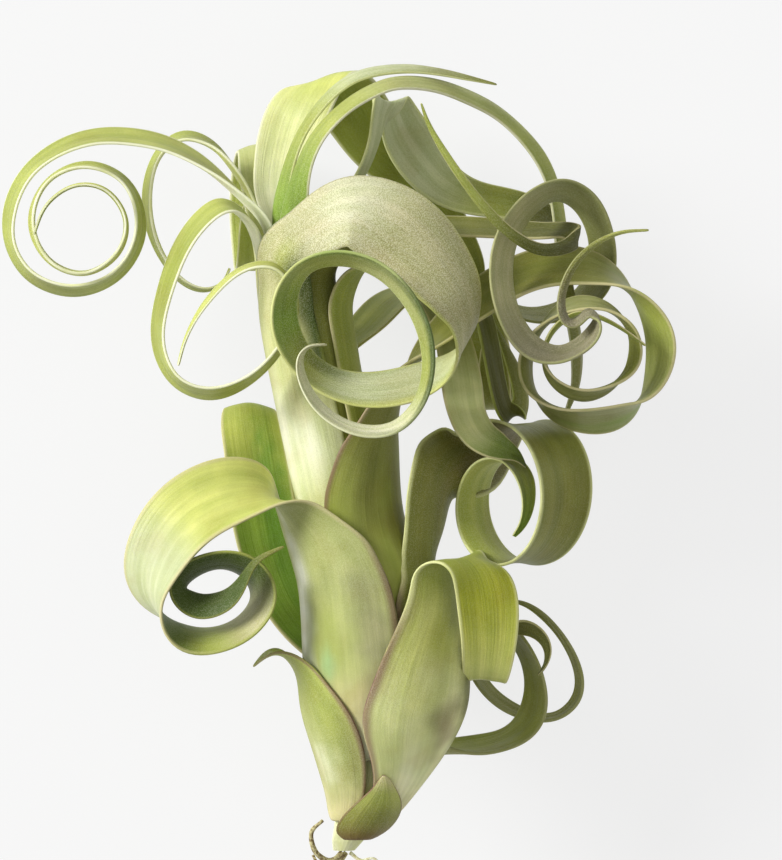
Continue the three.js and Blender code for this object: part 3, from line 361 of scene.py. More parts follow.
            (-11, 44, -3, 6, (0.2, 0, -0.95)), (-6, 50, -3.5, 6), (-3.2, 57, -4, 6.5, (0.25, 0, -0.95)),
            (-2, 63, -5, 7, (0.4, 0, -0.9)), (-0.5, 66, -8, 9, (0.5, 0.3, -0.8)),
            (1.8, 60.5, -11.5, 11, (0.75, 0.5, -0.4)), (5.8, 54, -13.5, 11.5, (0.77, 0.55, -0.3)),
            (10.8, 48.6, -14.5, 10, (0.6, 0.7, -0.4)), (17, 46, -15, 8.5, (0.15, 0.85, -0.5)),
            (24, 45, -15, 7.5), (30.5, 43, -15.5, 6.5), (34.5, 39, -17, 5), (33.5, 35, -19.5, 4),
            (30, 33, -21.5, 3), (26, 33.5, -22, 1.2),
        ],
    },
    "leaf_hanging_loop": {
        "layer": 1,
        "sheath": [(0, 48, 58), (38, 48, 58)],
        "blade": [
            (-12.6, 42.4, 2.8, 5, (0.5, 0, -0.8)), (-7, 42.4, 0.6, 5, (0.1, 0.5, -0.8)),
            (0, 41, -2.4, 5.2), (7, 37, -6.6, 5.4, (0.3, 0.5, -0.8)), (13.5, 31, -9, 5.4),
            (18, 24, -8, 5.8, (0.6, 0.2, -0.75)), (19.8, 16, -7, 5.6), (21.4, 8, -7, 5.4),
            (22.8, 3.6, -8, 5.2, (0.6, 0.3, -0.7)), (25, 3, -10.5, 4.9),
            (26.3, 6, -12.5, 4.7, (0.7, 0, -0.7)), (24.8, 12, -13.5, 4.1), (22.6, 17, -14, 2.8),
            (20.8, 21, -14.5, 1.2),
        ],
    },
    "leaf_lower_right_ring": {
        "layer": 3, "bulb": True,
        "sheath": [(-72, 132, 96), (-67, 132, 96)],
        "blade": [
            (9, -64.5, -12.5, 12, (-0.6, 0, -0.8)), (17, -64, -13, 10.5, (-0.5, 0.2, -0.8)),
            (22.5, -62.5, -12.5, 9.5, (-0.5, 0.1, -0.8)), (26.5, -60, -11.5, 9),
            (29, -56, -10.5, 8.5, (-0.6, 0, -0.75)), (29.2, -50, -10.5, 8), (26.8, -43.5, -12, 7.5),
            (22.5, -39, -14, 7, (0, -0.5, -0.8)), (18, -39.5, -16, 6.4),
            (15.5, -44, -17.5, 5.8, (0.5, 0, -0.85)), (18, -51, -18.5, 5.2),
            (24, -56, -18.5, 4.6, (0.3, 0.4, -0.85)), (32, -58, -18, 4),
            (37, -54.5, -17.5, 3.6, (-0.4, 0.2, -0.85)), (38, -49.5, -17.5, 3.2),
            (35.5, -43, -17.5, 2.8), (31, -37.5, -17.5, 2.4, (-0.3, -0.4, -0.85)),
            (26.5, -34.5, -17.5, 1.8), (22, -34, -18, 1),
        ],
    },
    "leaf_rear_left_curl": {
        "layer": 4,
        "sheath": [(-20, -141, 74), (6, -141, 74), (24, -141, 74)],
        "blade": [
            (-22.5, 34, -13.5, 11, (-0.95, 0, 0.3)), (-24.6, 46, -20, 11, (-1, 0, 0.1)),
            (-25.6, 54.5, -25, 10.5, (-1, 0, 0), -30), (-26.4, 57, -31, 9.6, (-1, 0, 0), -60),
            (-27, 52, -37.4, 10, (-1, 0, 0), 0), (-27.5, 47.5, -39.75, 10, (-1, 0, 0), 0),
            (-27.5, 41.5, -39.75, 10, (-1, 0, 0), 0), (-27.5, 36, -37.4, 9, (-1, 0, 0), 10),
            (-27.5, 32, -32.5, 8), (-27.5, 34.5, -27.5, 7), (-27.5, 40.5, -26, 6),
            (-27.5, 45, -29, 4.5), (-27.5, 43.5, -33, 3), (-27.5, 39.5, -33.5, 1.2),
        ],
    },
    "leaf_rear_right_curl": {
        "layer": 4,
        "sheath": [(-20, 157, 40), (14, 157, 40)],
        "blade": [
            (-5, 20, -14.5, 10, (-0.85, 0, -0.5)), (0, 25.5, -20.5, 11, (-0.85, 0, -0.5)),
            (7, 28, -27, 11.5, (-0.9, 0, -0.35)), (13.5, 25.5, -34, 11, (-0.97, 0, -0.1)),
            (17.4, 20.5, -38, 10.5, (-1, 0, 0), 10), (19.2, 15.5, -39.75, 10, (-1, 0, 0), 0),
            (20, 9.5, -39.75, 10, (-1, 0, 0), 0), (20.5, 5.5, -35.5, 9, (-1, 0, 0), 10),
            (20.5, 4.5, -29.5, 8), (20.5, 9.5, -26.5, 7), (20.5, 15.5, -28, 5.5), (20.5, 17, -32, 4),
            (20.5, 13, -34, 2.6), (20.5, 10, -33, 1.2),
        ],
    },
    "leaf_rear_lower_curl": {
        "layer": 3, "bulb": True,
        "sheath": [(-66, 180, 100), (-52, 180, 100)],
        "blade": [
            (-3, -44, -20, 14, (-1, 0, 0)), (-3, -38, -25, 13), (-3, -34.5, -31, 12),
            (-3, -36, -37, 11), (-3, -40, -39.75, 10, (-1, 0, 0), 0),
            (-3, -46, -39.75, 10, (-1, 0, 0), 0), (-3, -50.5, -37.4, 9, (-1, 0, 0), 10),
            (-3, -52, -33, 8), (-3, -49.5, -28, 7), (-3, -44.5, -27, 6), (-3, -41.5, -30.5, 4.5),
            (-3, -44, -34, 3), (-3, -47, -33, 1.2),
        ],
    },
}

# Colours as the eye reads them, each channel from 0 to 255
PAINT = {
    "cream": (238, 239, 206),
    "pale lime": (222, 225, 160),
    "sage": (202, 207, 164),
    "lime": (204, 208, 116),
    "soft green": (182, 187, 120),
    "vivid green": (172, 176, 50),
    "leaf": (168, 176, 84),
    "bright green": (134, 162, 58),
    "grass": (104, 144, 44),
    "moss": (106, 122, 50),
    "olive": (136, 138, 62),
    "brown olive": (118, 112, 50),
    "dark olive": (96, 98, 40),
    "deep green": (78, 96, 34),
    "khaki": (190, 186, 138),
    "silver": (226, 225, 190),
    "silver olive": (158, 160, 104),
    "grey olive": (142, 136, 108),
    "mauve": (124, 88, 78),
    "brown": (112, 90, 50),
    "straw": (206, 198, 146),
    "bloom": (242, 241, 230),
    "sea green": (160, 204, 160),
}

# What the skins multiply a leaf's colour by, and the colour of its silvery scales, as light
BROAD_SHADE = (0.8, 0.84, 0.7, 1)
PALE_LINES = (1.25, 1.25, 1.3, 1)
PALE_CLOUDS = (1.22, 1.18, 1.24, 1)
DARK_CLOUDS = (0.84, 0.78, 0.66, 1)
DARK_PITS = (0.62, 0.6, 0.5, 1)
SCALE_SILVER = (0.84, 0.83, 0.68, 1)
SILVERING = 0.45  # how much of that silver a scale shows
SPECK_COVER = 0.75
PIT_COVER = 0.8
MARGIN_COVER = 0.7

# Scales are sparse near a leaf's foot
FOOT_SCALES = 0.3  # their strength there against the rest
SCALES_START = 0.14  # the share of the length up to which it stays so
SCALES_GROW = 0.1  # the share of the length over which they come up to full strength

# A patch's outline
PATCH_REACH = 1.1  # where a patch has faded away, against its own size
PATCH_RAGGED = 0.35
RAGGED_ACROSS = 3  # how fast the outline comes and goes across a leaf
RAGGED_ALONG = 40
RAGGED_SEED = 5.1  # how far apart two patches' outlines are taken

# How each leaf is coloured: one paint, or stops (share of its length, paint), for its outer face,
# its hollow face and its margins, then how strongly the silvery scales show on the two faces
# Some of these stops are painted shade or painted light, as marked below
LOOKS = {
    "leaf_basal_scale": {
        "outer": [(0, "brown"), (0.35, "olive"), (0.7, "leaf"), (1, "straw")],
        "hollow": "straw",
        "margin": [(0, "brown"), (1, "mauve")],
        "scales": (0.3, 0.1),
    },
    "leaf_lower_left": {
        "outer": [(0, "straw"), (0.3, "soft green"), (0.7, "leaf"), (0.9, "leaf"), (1, "olive")],
        "hollow": "leaf",
        "margin": [(0, "mauve"), (0.85, "mauve"), (1, "straw")],
        "scales": (0.35, 0.2),
    },
    "leaf_lower_right": {
        "outer": [
            (0, "straw"), (0.1, "pale lime"), (0.22, "pale lime"), (0.34, "lime"), (0.44, "leaf"),
            (1, "olive"),
        ],
        "hollow": [
            (0, "leaf"), (0.48, "leaf"), (0.56, "vivid green"), (0.72, "lime"), (0.78, "olive"),
            (1, "dark olive"),
        ],
        "margin": [(0, "mauve"), (0.3, "mauve"), (0.42, "pale lime"), (1, "straw")],
        "scales": (0.35, 0.2),
    },
    "leaf_front_left": {
        "outer": [
            (0, "cream"), (0.07, "straw"), (0.13, "soft green"), (0.2, "soft green"),
            (0.26, "soft green"), (0.4, "olive"), (0.52, "moss"), (0.59, "moss"), (0.63, "leaf"),
            # painted shade: deep green over the inner turn, 0.74 to 0.93
            (0.68, "khaki"), (0.74, "deep green"), (0.93, "deep green"), (1, "olive"),
        ],
        "hollow": [
            (0, "lime"), (0.26, "leaf"), (0.33, "lime"), (0.43, "lime"), (0.5, "sage"), (0.56, "sage"),
            # painted shade: deep green over the inner turn, 0.72 to 0.93
            (0.63, "leaf"), (0.72, "deep green"), (0.93, "deep green"), (1, "olive"),
        ],
        "margin": [
            (0, "mauve"), (0.2, "mauve"), (0.3, "straw"), (0.56, "straw"), (0.66, "leaf"), (1, "olive"),
        ],
        "scales": (0.3, 0.15),
    },
    "leaf_back_left": {
        "outer": [(0, "lime"), (0.3, "leaf"), (1, "leaf")],
        "hollow": [
            # painted light: grass and bright green stand in for light shining through the hanging blade
            (0, "grass"), (0.45, "bright green"), (0.6, "leaf"), (0.7, "leaf"), (1, "deep green"),
        ],
        "margin": "straw",
        "scales": (0.2, 0.15),
    },
    "leaf_right_curl": {
        "outer": [
            (0, "leaf"), (0.12, "leaf"), (0.26, "olive"), (0.36, "leaf"), (0.42, "olive"),
            (0.5, "leaf"), (0.58, "soft green"), (0.65, "olive"), (1, "leaf"),
        ],
        "hollow": [
            (0, "olive"), (0.4, "olive"), (0.5, "silver olive"), (0.6, "silver olive"),
            (0.75, "silver olive"), (1, "olive"),
        ],
        "margin": [(0, "mauve"), (0.2, "mauve"), (0.3, "straw"), (1, "straw")],
        "scales": (0.2, 0.15),
    },
    "leaf_right_roll": {
        "outer": [
            (0, "olive"), (0.25, "olive"), (0.45, "brown olive"), (0.62, "brown olive"),
            # painted shade: dark olive at 0.67, where the drum's low face lies in shade
            (0.67, "dark olive"), (0.75, "leaf"), (1, "lime"),
        ],
        "hollow": [
            (0, "leaf"), (0.66, "olive"), (0.74, "moss"), (0.82, "moss"), (0.9, "leaf"),
            (1, "bright green"),
        ],
        "margin": [(0, "mauve"), (0.15, "mauve"), (0.24, "pale lime"), (1, "pale lime")],
        "scales": (0.35, 0.2),
    },
    "leaf_ribbon": {
        "outer": [
            # painted light: pale lime about 0.84 lightens the ribbon's low turn, which lies in shade
            (0, "lime"), (0.4, "leaf"), (0.7, "leaf"), (0.84, "pale lime"), (0.93, "dark olive"),
            (1, "dark olive"),
        ],
        "hollow": [
            # painted light: pale lime from 0.78 to 0.87 lightens the same low turn
            (0, "leaf"), (0.4, "olive"), (0.66, "olive"), (0.78, "pale lime"), (0.87, "pale lime"),
            (0.94, "moss"),
        ],
        "margin": "straw",
        "scales": (0.3, 0.2),
    },
    "leaf_front_curl": {
        "outer": [
            (0, "pale lime"), (0.07, "cream"), (0.12, "pale lime"), (0.23, "khaki"), (0.29, "silver"),
            (0.34, "khaki"), (0.5, "khaki"), (0.66, "leaf"), (0.74, "soft green"), (0.82, "leaf"),
            (0.88, "pale lime"), (1, "khaki"),
        ],
        "hollow": [
            # painted shade: deep green over the hollow face up to 0.3, where it lies shaded under the
            # arch
            (0, "deep green"), (0.3, "deep green"), (0.38, "leaf"), (0.43, "pale lime"), (0.48, "sage"),
            (0.54, "sage"), (0.58, "leaf"), (0.62, "bright green"), (0.68, "leaf"),
            (0.74, "soft green"), (0.82, "leaf"), (0.88, "silver"), (0.95, "silver"), (1, "khaki"),
        ],
        "margin": [
            # painted shade: the margins turn deep green from 0.13 to 0.28, where they lie in the curl's
            # shadow
            (0, "mauve"), (0.08, "pale lime"), (0.13, "leaf"), (0.17, "deep green"),
            (0.22, "deep green"), (0.28, "khaki"), (0.4, "lime"), (0.8, "pale lime"), (1, "cream"),
        ],
        "scales": (0.95, 0.6),
    },
    "leaf_left_loop": {
        "outer": [(0, "cream"), (0.3, "cream"), (0.6, "pale lime"), (1, "lime")],
        "hollow": [(0, "lime"), (0.5, "leaf"), (1, "lime")],
        "margin": "cream",
        "scales": (0.4, 0.2),
    },
    "leaf_top_left_ring": {
        "outer": [(0, "cream"), (0.25, "cream"), (0.5, "pale lime"), (0.7, "lime"), (1, "leaf")],
        "hollow": [(0, "lime"), (0.5, "leaf"), (1, "lime")],
        "margin": "cream",
        "scales": (0.4, 0.2),
    },
    "leaf_upper_left_ring": {
        "outer": [(0, "pale lime"), (0.5, "lime"), (1, "lime")],
        "hollow": [(0, "lime"), (0.6, "leaf")],
        "margin": "cream",
        "scales": (0.3, 0.2),
    },
    "leaf_tall_wide": {
        "outer": [(0, "leaf"), (0.4, "leaf"), (0.6, "leaf"), (1, "olive")],
        "hollow": [
            (0, "pale lime"), (0.3, "cream"), (0.46, "pale lime"), (0.54, "lime"),
            (0.6, "bright green"), (1, "olive"),
        ],
        "margin": "silver",
        "scales": (0.2, 0.2),
    },
    "leaf_top_thin": {
        "outer": [(0, "leaf"), (0.42, "bright green"), (0.6, "leaf"), (0.75, "sage"), (1, "olive")],
        "hollow": "leaf",
        "margin": "pale lime",
        "scales": (0.4, 0.3),
    },
    "leaf_long_arch": {
        "outer": [
            (0, "leaf"), (0.3, "bright green"), (0.4, "leaf"), (0.5, "soft green"), (0.7, "leaf"),
            (0.85, "olive"),
        ],
        "hollow": [(0, "leaf"), (1, "olive")],
        "margin": "silver",
        "scales": (0.4, 0.2),
    },
    "leaf_hook": {
        "outer": [
            (0, "leaf"), (0.3, "olive"), (0.5, "olive"), (0.6, "dark olive"), (0.68, "dark olive"),
            (1, "leaf"),
        ],
        "hollow": [
            (0, "olive"), (0.5, "olive"), (0.6, "dark olive"), (0.68, "dark olive"), (1, "olive"),
        ],
        "margin": "straw",
        "scales": (0.3, 0.2),
    },
    "leaf_right_ring": {
        "outer": [
            (0, "olive"), (0.45, "olive"), (0.6, "silver olive"), (0.66, "khaki"), (0.71, "khaki"),
            (0.78, "grey olive"), (0.88, "grey olive"), (0.93, "olive"), (1, "lime"),
        ],
        "hollow": [
            (0, "olive"), (0.45, "olive"), (0.58, "silver olive"), (0.66, "khaki"), (0.71, "khaki"),
            (0.78, "grey olive"), (0.88, "grey olive"), (0.93, "olive"), (1, "lime"),
        ],
        "margin": "silver olive",
        "scales": (0.5, 0.4),
    },
    "leaf_wedge": {
        "outer": [
            (0, "lime"), (0.4, "sage"), (0.66, "sage"), (0.78, "leaf"), (0.85, "olive"),
            (1, "dark olive"),
        ],
        "hollow": [(0, "lime"), (0.4, "sage"), (0.66, "sage"), (0.78, "leaf"), (0.85, "dark olive")],
        "margin": "pale lime",
        "scales": (0.3, 0.3),
    },
    "leaf_hanging_loop": {
        "outer": [(0, "leaf"), (0.4, "olive"), (1, "olive")],
        "hollow": [(0, "olive"), (1, "dark olive")],
        "margin": "leaf",
        "scales": (0.25, 0.1),
    },
    "leaf_lower_right_ring": {
        "outer": [(0, "olive"), (0.5, "olive"), (1, "olive")],
        "hollow": [(0, "leaf"), (0.5, "olive"), (1, "olive")],
        "margin": "silver olive",
        "scales": (0.35, 0.2),
    },
    "leaf_rear_left_curl": {
        "outer": [(0, "lime"), (1, "leaf")],
        "hollow": [(0, "leaf"), (0.5, "soft green"), (1, "leaf")],
        "margin": "silver",
        "scales": (0.3, 0.2),
    },
    "leaf_rear_right_curl": {
        "outer": [(0, "leaf"), (1, "olive")],
        "hollow": [(0, "leaf"), (1, "olive")],
        "margin": "straw",
        "scales": (0.3, 0.2),
    },
    "leaf_rear_lower_curl": {
        "outer": [(0, "lime"), (0.5, "leaf"), (1, "olive")],
        "hollow": "leaf",
        "margin": "straw",
        "scales": (0.3, 0.2),
    },
}

# Soft patches on a leaf's outer face: where they are along (share of its length) and across
# (-1 to 1), how far they reach each way, their paint and how strong they are
# Some of these patches are painted shade or painted highlights, as marked below
PATCHES = {
    "leaf_lower_left": [
        (0.28, 0.0, 0.14, 0.5, "cream", 0.6),
        (0.5, 0.5, 0.16, 0.4, "leaf", 0.6),
        (0.35, 0.8, 0.3, 0.3, "olive", 0.5),
    ],
    "leaf_lower_right": [
        (0.07, -0.3, 0.1, 0.6, "cream", 0.4),
        # partly a real brownish tone, partly painted shade on the dome's right side
        (0.3, 0.7, 0.24, 0.45, "brown olive", 0.9),
        (0.18, 0.1, 0.07, 0.4, "brown", 0.7),
        # painted shade on the dome's right side
        (0.3, 0.5, 0.14, 0.4, "dark olive", 0.8),
        # painted highlight on the dome's lit left middle
        (0.31, -0.4, 0.14, 0.5, "lime", 1.0),
        (0.34, -0.3, 0.1, 0.3, "vivid green", 0.5),
        (0.3, -0.95, 0.2, 0.16, "mauve", 0.4),
        # painted highlight on the dome's lit left middle
        (0.26, -0.3, 0.05, 0.3, "pale lime", 0.6),
        (0.38, 0.3, 0.06, 0.6, "olive", 0.7),
    ],
    "leaf_front_left": [
        (0.15, -0.25, 0.17, 0.26, "bloom", 1.0),
        (0.15, 0.1, 0.08, 0.4, "leaf", 0.5),
        (0.12, 0.14, 0.03, 0.12, "sea green", 0.5),
        (0.17, 0.7, 0.1, 0.3, "grey olive", 0.6),
        (0.08, 0.75, 0.06, 0.3, "grey olive", 0.6),
    ],
    "leaf_right_curl": [
        (0.14, 0.5, 0.1, 0.5, "brown", 0.5),
        (0.18, -0.3, 0.06, 0.4, "dark olive", 0.5),
        (0.11, -0.4, 0.04, 0.4, "leaf", 0.6),
    ],
    "leaf_right_roll": [(0.08, 0.2, 0.08, 0.7, "dark olive", 0.6), (0.4, 0.3, 0.2, 0.6, "brown", 0.3)],
    "leaf_front_curl": [
        (0.05, 0.75, 0.08, 0.4, "leaf", 0.6),
        (0.06, -0.3, 0.08, 0.5, "cream", 0.8),
        (0.02, 0.2, 0.04, 0.5, "leaf", 0.4),
        # painted shade: deep green down the column's right side, where the curl above shades it
        (0.2, 0.8, 0.06, 0.9, "deep green", 1.0),
        (0.15, 1.0, 0.07, 0.6, "deep green", 1.0),
        (0.22, 0.1, 0.03, 0.5, "leaf", 0.8),
        # painted shade: deep green on the second turn's right limb
        (0.8, 1.0, 0.12, 0.9, "deep green", 0.95),
    ],
}

# The same on the hollow face and the margins
# Some of these patches are painted shade or painted light, as marked below
HOLLOW_PATCHES = {
    # painted light: a grass patch for light shining through the hanging blade
    "leaf_back_left": [(0.46, -0.35, 0.24, 0.6, "grass", 0.95)],
    "leaf_front_curl": [
        (0.5, 0.9, 0.09, 0.5, "lime", 0.8),
        # painted shade: deep green on the second turn's right limb
        (0.8, 1.0, 0.12, 1.1, "deep green", 1.0),
        (0.7, 0.9, 0.05, 0.5, "bright green", 0.7),
        # painted shade: deep green on the first turn's shaded inside at the left
        (0.57, -0.6, 0.04, 0.6, "deep green", 0.6),
    ],
    "leaf_right_curl": [(0.55, 0.5, 0.1, 0.6, "bright green", 0.6)],
}


def mix(a, b, t):
    return a + (b - a) * t


def clamp(v):
    return max(0.0, min(1.0, v))


def eased(t):
    t = clamp(t)
    return t * t * (3 - 2 * t)


# One channel from 0 to 255 made linear, by the curve that screens use
def linear(channel):
    value = channel / 255
    return value / 12.92 if value <= 0.04045 else ((value + 0.055) / 1.055) ** 2.4


# A paint's colour as light
def light(paint):
    return Vector([linear(channel) for channel in PAINT[paint]])


# A face's colour at a share t of the leaf's length
def stop_colour(stops, t):
    if isinstance(stops, str):
        return light(stops)
    if t <= stops[0][0]:
        return light(stops[0][1])
    for (low, first), (high, second) in zip(stops, stops[1:]):
        if t <= high:
            return light(first).lerp(light(second), eased((t - low) / (high - low)))
    return light(stops[-1][1])


# Lays a leaf's soft patches over its colour
def patched(colour, patches, t, u):
    for k, (middle, side, long, wide, paint, strength) in enumerate(patches):
        spot = Vector((u * RAGGED_ACROSS, t * RAGGED_ALONG, k * RAGGED_SEED))
        far = math.hypot((t - middle) / long, (u - side) / wide) + PATCH_RAGGED * noise.noise(spot)
        colour = colour.lerp(light(paint), strength * eased(PATCH_REACH - far))
    return colour


# From the stem's own millimetres to the frame's metres
def to_frame(p):
    return (p - MIDDLE) * MM


# From where a point looks to be, to where it is
def place(x, y, z):
    nearer = (EYE_HEIGHT - z) / EYE_HEIGHT
    return Vector((x * nearer, y * nearer, z))


def cubic(a, b, slope_a, slope_b, t):
    return (
        a
        + slope_a * t
        + (3 * (b - a) - 2 * slope_a - slope_b) * t * t
        + (2 * (a - b) + slope_a + slope_b) * t * t * t
    )


# Reads a column of a table whose first column rises, smoothly
def along(table, y, column):
    k = 1
    while k < len(table) - 1 and table[k][0] < y:
        k += 1
    low, high = table[k - 1], table[k]
    span = high[0] - low[0]
    before = table[k - 2] if k > 1 else low
    after = table[k + 1] if k + 1 < len(table) else high
    slope_a = span * (high[column] - before[column]) / (high[0] - before[0])
    slope_b = span * (after[column] - low[column]) / (after[0] - low[0])
    return cubic(low[column], high[column], slope_a, slope_b, clamp((y - low[0]) / span))


# The four points round one stretch of a curve, with the end points carried on
def four_round(points, t):
    p = (len(points) - 1) * clamp(t)
    k = min(int(p), len(points) - 2)
    first = points[k - 1] if k > 0 else points[0] * 2 - points[1]
    last = points[k + 2] if k + 2 < len(points) else points[-1] * 2 - points[-2]
    return first, points[k], points[k + 1], last, p - k


def even_curve(points, t):
    a, b, c, d, s = four_round(points, t)
    return cubic(b, c, (c - a) * 0.5, (d - b) * 0.5, s)


# A curve through points at uneven distances that makes no loops between them
def round_curve(points, t):
    a, b, c, d, s = four_round(points, t)
    near = 1e-4
    middle = (c - b).length ** 0.5
    middle = middle if middle > near else 1.0
    before = (b - a).length ** 0.5
    before = before if before > near else middle
    after = (d - c).length ** 0.5
    after = after if after > near else middle
    slope_b = ((b - a) / before - (c - a) / (before + middle) + (c - b) / middle) * middle
    slope_c = ((c - b) / middle - (d - b) / (middle + after) + (d - c) / after) * middle
    return cubic(b, c, slope_b, slope_c, s)


def curve_way(points, t):
    reach = 1e-4
    return (round_curve(points, t + reach) - round_curve(points, t - reach)).normalized()


class Row:
    """One row across a leaf: its middle, the way across, the way its hollow side faces,
    its width and how far it is bent across."""

    def __init__(self, centre, across, inward, width, bend):
        self.centre = centre
        self.across = across
        self.inward = inward
        self.width = width
        self.bend = bend

    # A point of the row: u runs from -1 to 1 across
    def point(self, u):
        bend = self.bend if abs(self.bend) > FLATTEST_BEND else FLATTEST_BEND
        angle = u * bend / 2
        radius = self.width / bend
        return (
            self.centre
            + self.across * (radius * math.sin(angle))
            + self.inward * (radius * (1 - math.cos(angle)))
        )


def sheath_row(leaf, y):
    angle = math.radians(along(leaf["sheath"], y, 1))
    bend = math.radians(along(leaf["sheath"], y, 2))
    column = 3 if leaf.get("bulb") else 2
    radius = along(STEM, y, column) + (leaf["layer"] - 0.5) * SHEATH_PITCH
    outward = Vector((math.sin(angle), 0, math.cos(angle)))
    centre = Vector((along(STEM, y, 1), y, 0)) + outward * radius
    across = Vector((math.cos(angle), 0, -math.sin(angle)))
    return Row(centre, across, -outward, radius * bend, bend)


def route_rows(points):
    rows = []
    for x, y, z, width, *more in points:
        across = Vector(more[0]).normalized() if more else None
        bend = math.radians(more[1]) if len(more) > 1 else None
        rows.append(Row(place(x, y, z), across, None, width, bend))
    return rows


# Rows along a coil whose middle wanders: angle 0 is its right side and 90 its top
def coil_rows(coil):
    axis = Vector(coil["axis"]).normalized()
    right = (Vector((1, 0, 0)) - axis * axis.x).normalized()
    up = axis.cross(right)
    if up.y < 0:
        up.negate()
    first, last = place(*coil["first"]), place(*coil["last"])
    rows = []
    for k in range(coil["rows"] + 1):
        t = k / coil["rows"]
        angle = math.radians(mix(coil["from"], coil["to"], t))
        radius = mix(*coil["radius"], t)
        centre = first.lerp(last, t) + right * (radius * math.cos(angle))
        centre += up * (radius * math.sin(angle))
        rows.append(Row(centre, axis.copy(), None, mix(*coil["width"], t), None))
    return rows


# Gives every row its way across, turned the same way as the row before
def fill_across(rows):
    for k, row in enumerate(rows):
        if row.across is None:
            before = rows[k - 1].across
            given = [j for j in range(k + 1, len(rows)) if rows[j].across is not None]
            if not given:
                row.across = before.copy()
                continue
            after = rows[given[0]].across.copy()
            if after.dot(before) < 0:
                after.negate()
            row.across = before.lerp(after, 1 / (given[0] - k + 1)).normalized()
        elif k > 0 and row.across.dot(rows[k - 1].across) < 0:
            row.across.negate()


def blade_rows(leaf, seat):
    blade = route_rows(leaf["blade"])
    if "coil" in leaf:
        blade += coil_rows(leaf["coil"])
    stations = seat + blade
    fill_across(stations)
    channel = math.radians(CHANNEL)
    for k, row in enumerate(blade):
        if row.bend is None:
            row.bend = mix(seat[-1].bend, channel, min(1, (k + 1) / CHANNEL_ROWS))
    centres = [row.centre for row in stations]
    ways = [row.across for row in stations]
    sizes = [Vector((row.width, row.bend, 0)) for row in stations]
    start = 1 / (len(stations) - 1)
    length = sum((b - a).length for a, b in zip(centres[1:], centres[2:]))
    steps = max(FEWEST_ROWS, round(length / ROW_STEP))
    rows = []
    for k in range(1, steps + 1):
        t = mix(start, 1, k / steps)
        way = curve_way(centres, t)
        across = even_curve(ways, t)
        across = (across - way * across.dot(way)).normalized()
        size = even_curve(sizes, t)
        rows.append(Row(round_curve(centres, t), across, way.cross(across), size.x, size.y))
    return rows


# The middle one of three values, drawn towards the other two
def drawn(a, b, c):
    return (a + b * 2 + c) / 4


# Evens out the rows, so that a sheath runs into its blade with no kink
def smoothed(rows, times):
    for _ in range(times):
        fresh = [rows[0]]
        for a, b, c in zip(rows, rows[1:], rows[2:]):
            centre = drawn(a.centre, b.centre, c.centre)
            across = drawn(a.across, b.across, c.across).normalized()
            inward = drawn(a.inward, b.inward, c.inward)
            inward = (inward - across * inward.dot(across)).normalized()
            width = drawn(a.width, b.width, c.width)
            fresh.append(Row(centre, across, inward, width, drawn(a.bend, b.bend, c.bend)))
        fresh.append(rows[-1])
        rows = fresh
    return rows


def leaf_rows(leaf):
    low, high = leaf["sheath"][0][0], leaf["sheath"][-1][0]
    shared = [y for y in [low] + SHEATH_ROWS if low <= y < high - 1]
    seat = [sheath_row(leaf, shared[-1]), sheath_row(leaf, high)]
    steps = max(FEWEST_ROWS, round((high - low) / ROW_STEP))
    rows = [sheath_row(leaf, mix(low, high, k / steps)) for k in range(steps + 1)]
    return smoothed(rows + blade_rows(leaf, seat), leaf.get("smoothings", SMOOTHINGS))


# The length of a leaf from its foot to each row
def row_runs(rows):
    runs = [0.0]
    for a, b in zip(rows, rows[1:]):
        runs.append(runs[-1] + (b.centre - a.centre).length)
    return runs


# Narrows a leaf to its point over its last stretch, and rounds off its foot
def width_share(t, run):
    left = clamp((1 - t) / (1 - TIP_START))
    risen = clamp(run / FOOT_LENGTH)
    return mix(POINT_SHARE, 1, math.sqrt(left)) * mix(FOOT_SHARE, 1, math.sqrt(risen * (2 - risen)))


# Where a point of a leaf is, in the frame
def leaf_point(row, u, t, run, seed):
    narrowed = Row(row.centre, row.across, row.inward, row.width * width_share(t, run), row.bend)
    wave = noise.noise(Vector((u * WAVES_ACROSS, run * WAVES_ALONG, seed * WAVE_SEED)))
    point = narrowed.point(u)
    point += narrowed.inward * (wave * WAVE_HEIGHT * eased(t * WAVES_GROW))
    point.z = max(point.z, FLOOR_Z + BLADE_THICKNESS / 2)
    return to_frame(point)


# The numbers a leaf's mesh carries: run is in centimetres and thick is a share
def leaf_numbers(look, u, t, run, seed):
    thinned = eased((t - THINNING_START) / (1 - THINNING_START))
    outer_scales, hollow_scales = look["scales"]
    return {
        "across": u,
        "run": run / CM,
        "thick": mix(1, MARGIN_SHARE, u * u) * mix(1, TIP_SHARE, thinned),
        "outer scales": outer_scales * mix(FOOT_SCALES, 1, eased((t - SCALES_START) / SCALES_GROW)),
        "hollow scales": hollow_scales,
        "seed": seed,
    }


# The colours a leaf's mesh carries, one for each skin
def leaf_tints(name, look, t, u):
    hollow_patches = HOLLOW_PATCHES.get(name, [])
    return {
        "outer tint": patched(stop_colour(look["outer"], t), PATCHES.get(name, []), t, u),
        "hollow tint": patched(stop_colour(look["hollow"], t), hollow_patches, t, u),
        "margin tint": patched(stop_colour(look["margin"], t), hollow_patches, t, u),
    }


# Turns a finished bmesh into an object of the scene
def new_object(name, bm):
    mesh = bpy.data.meshes.new(name)
    bm.to_mesh(mesh)
    bm.free()
    thing = bpy.data.objects.new(name, mesh)
    bpy.context.scene.collection.objects.link(thing)
    return thing


def shade_smooth(thing):
    for polygon in thing.data.polygons:
        polygon.use_smooth = True


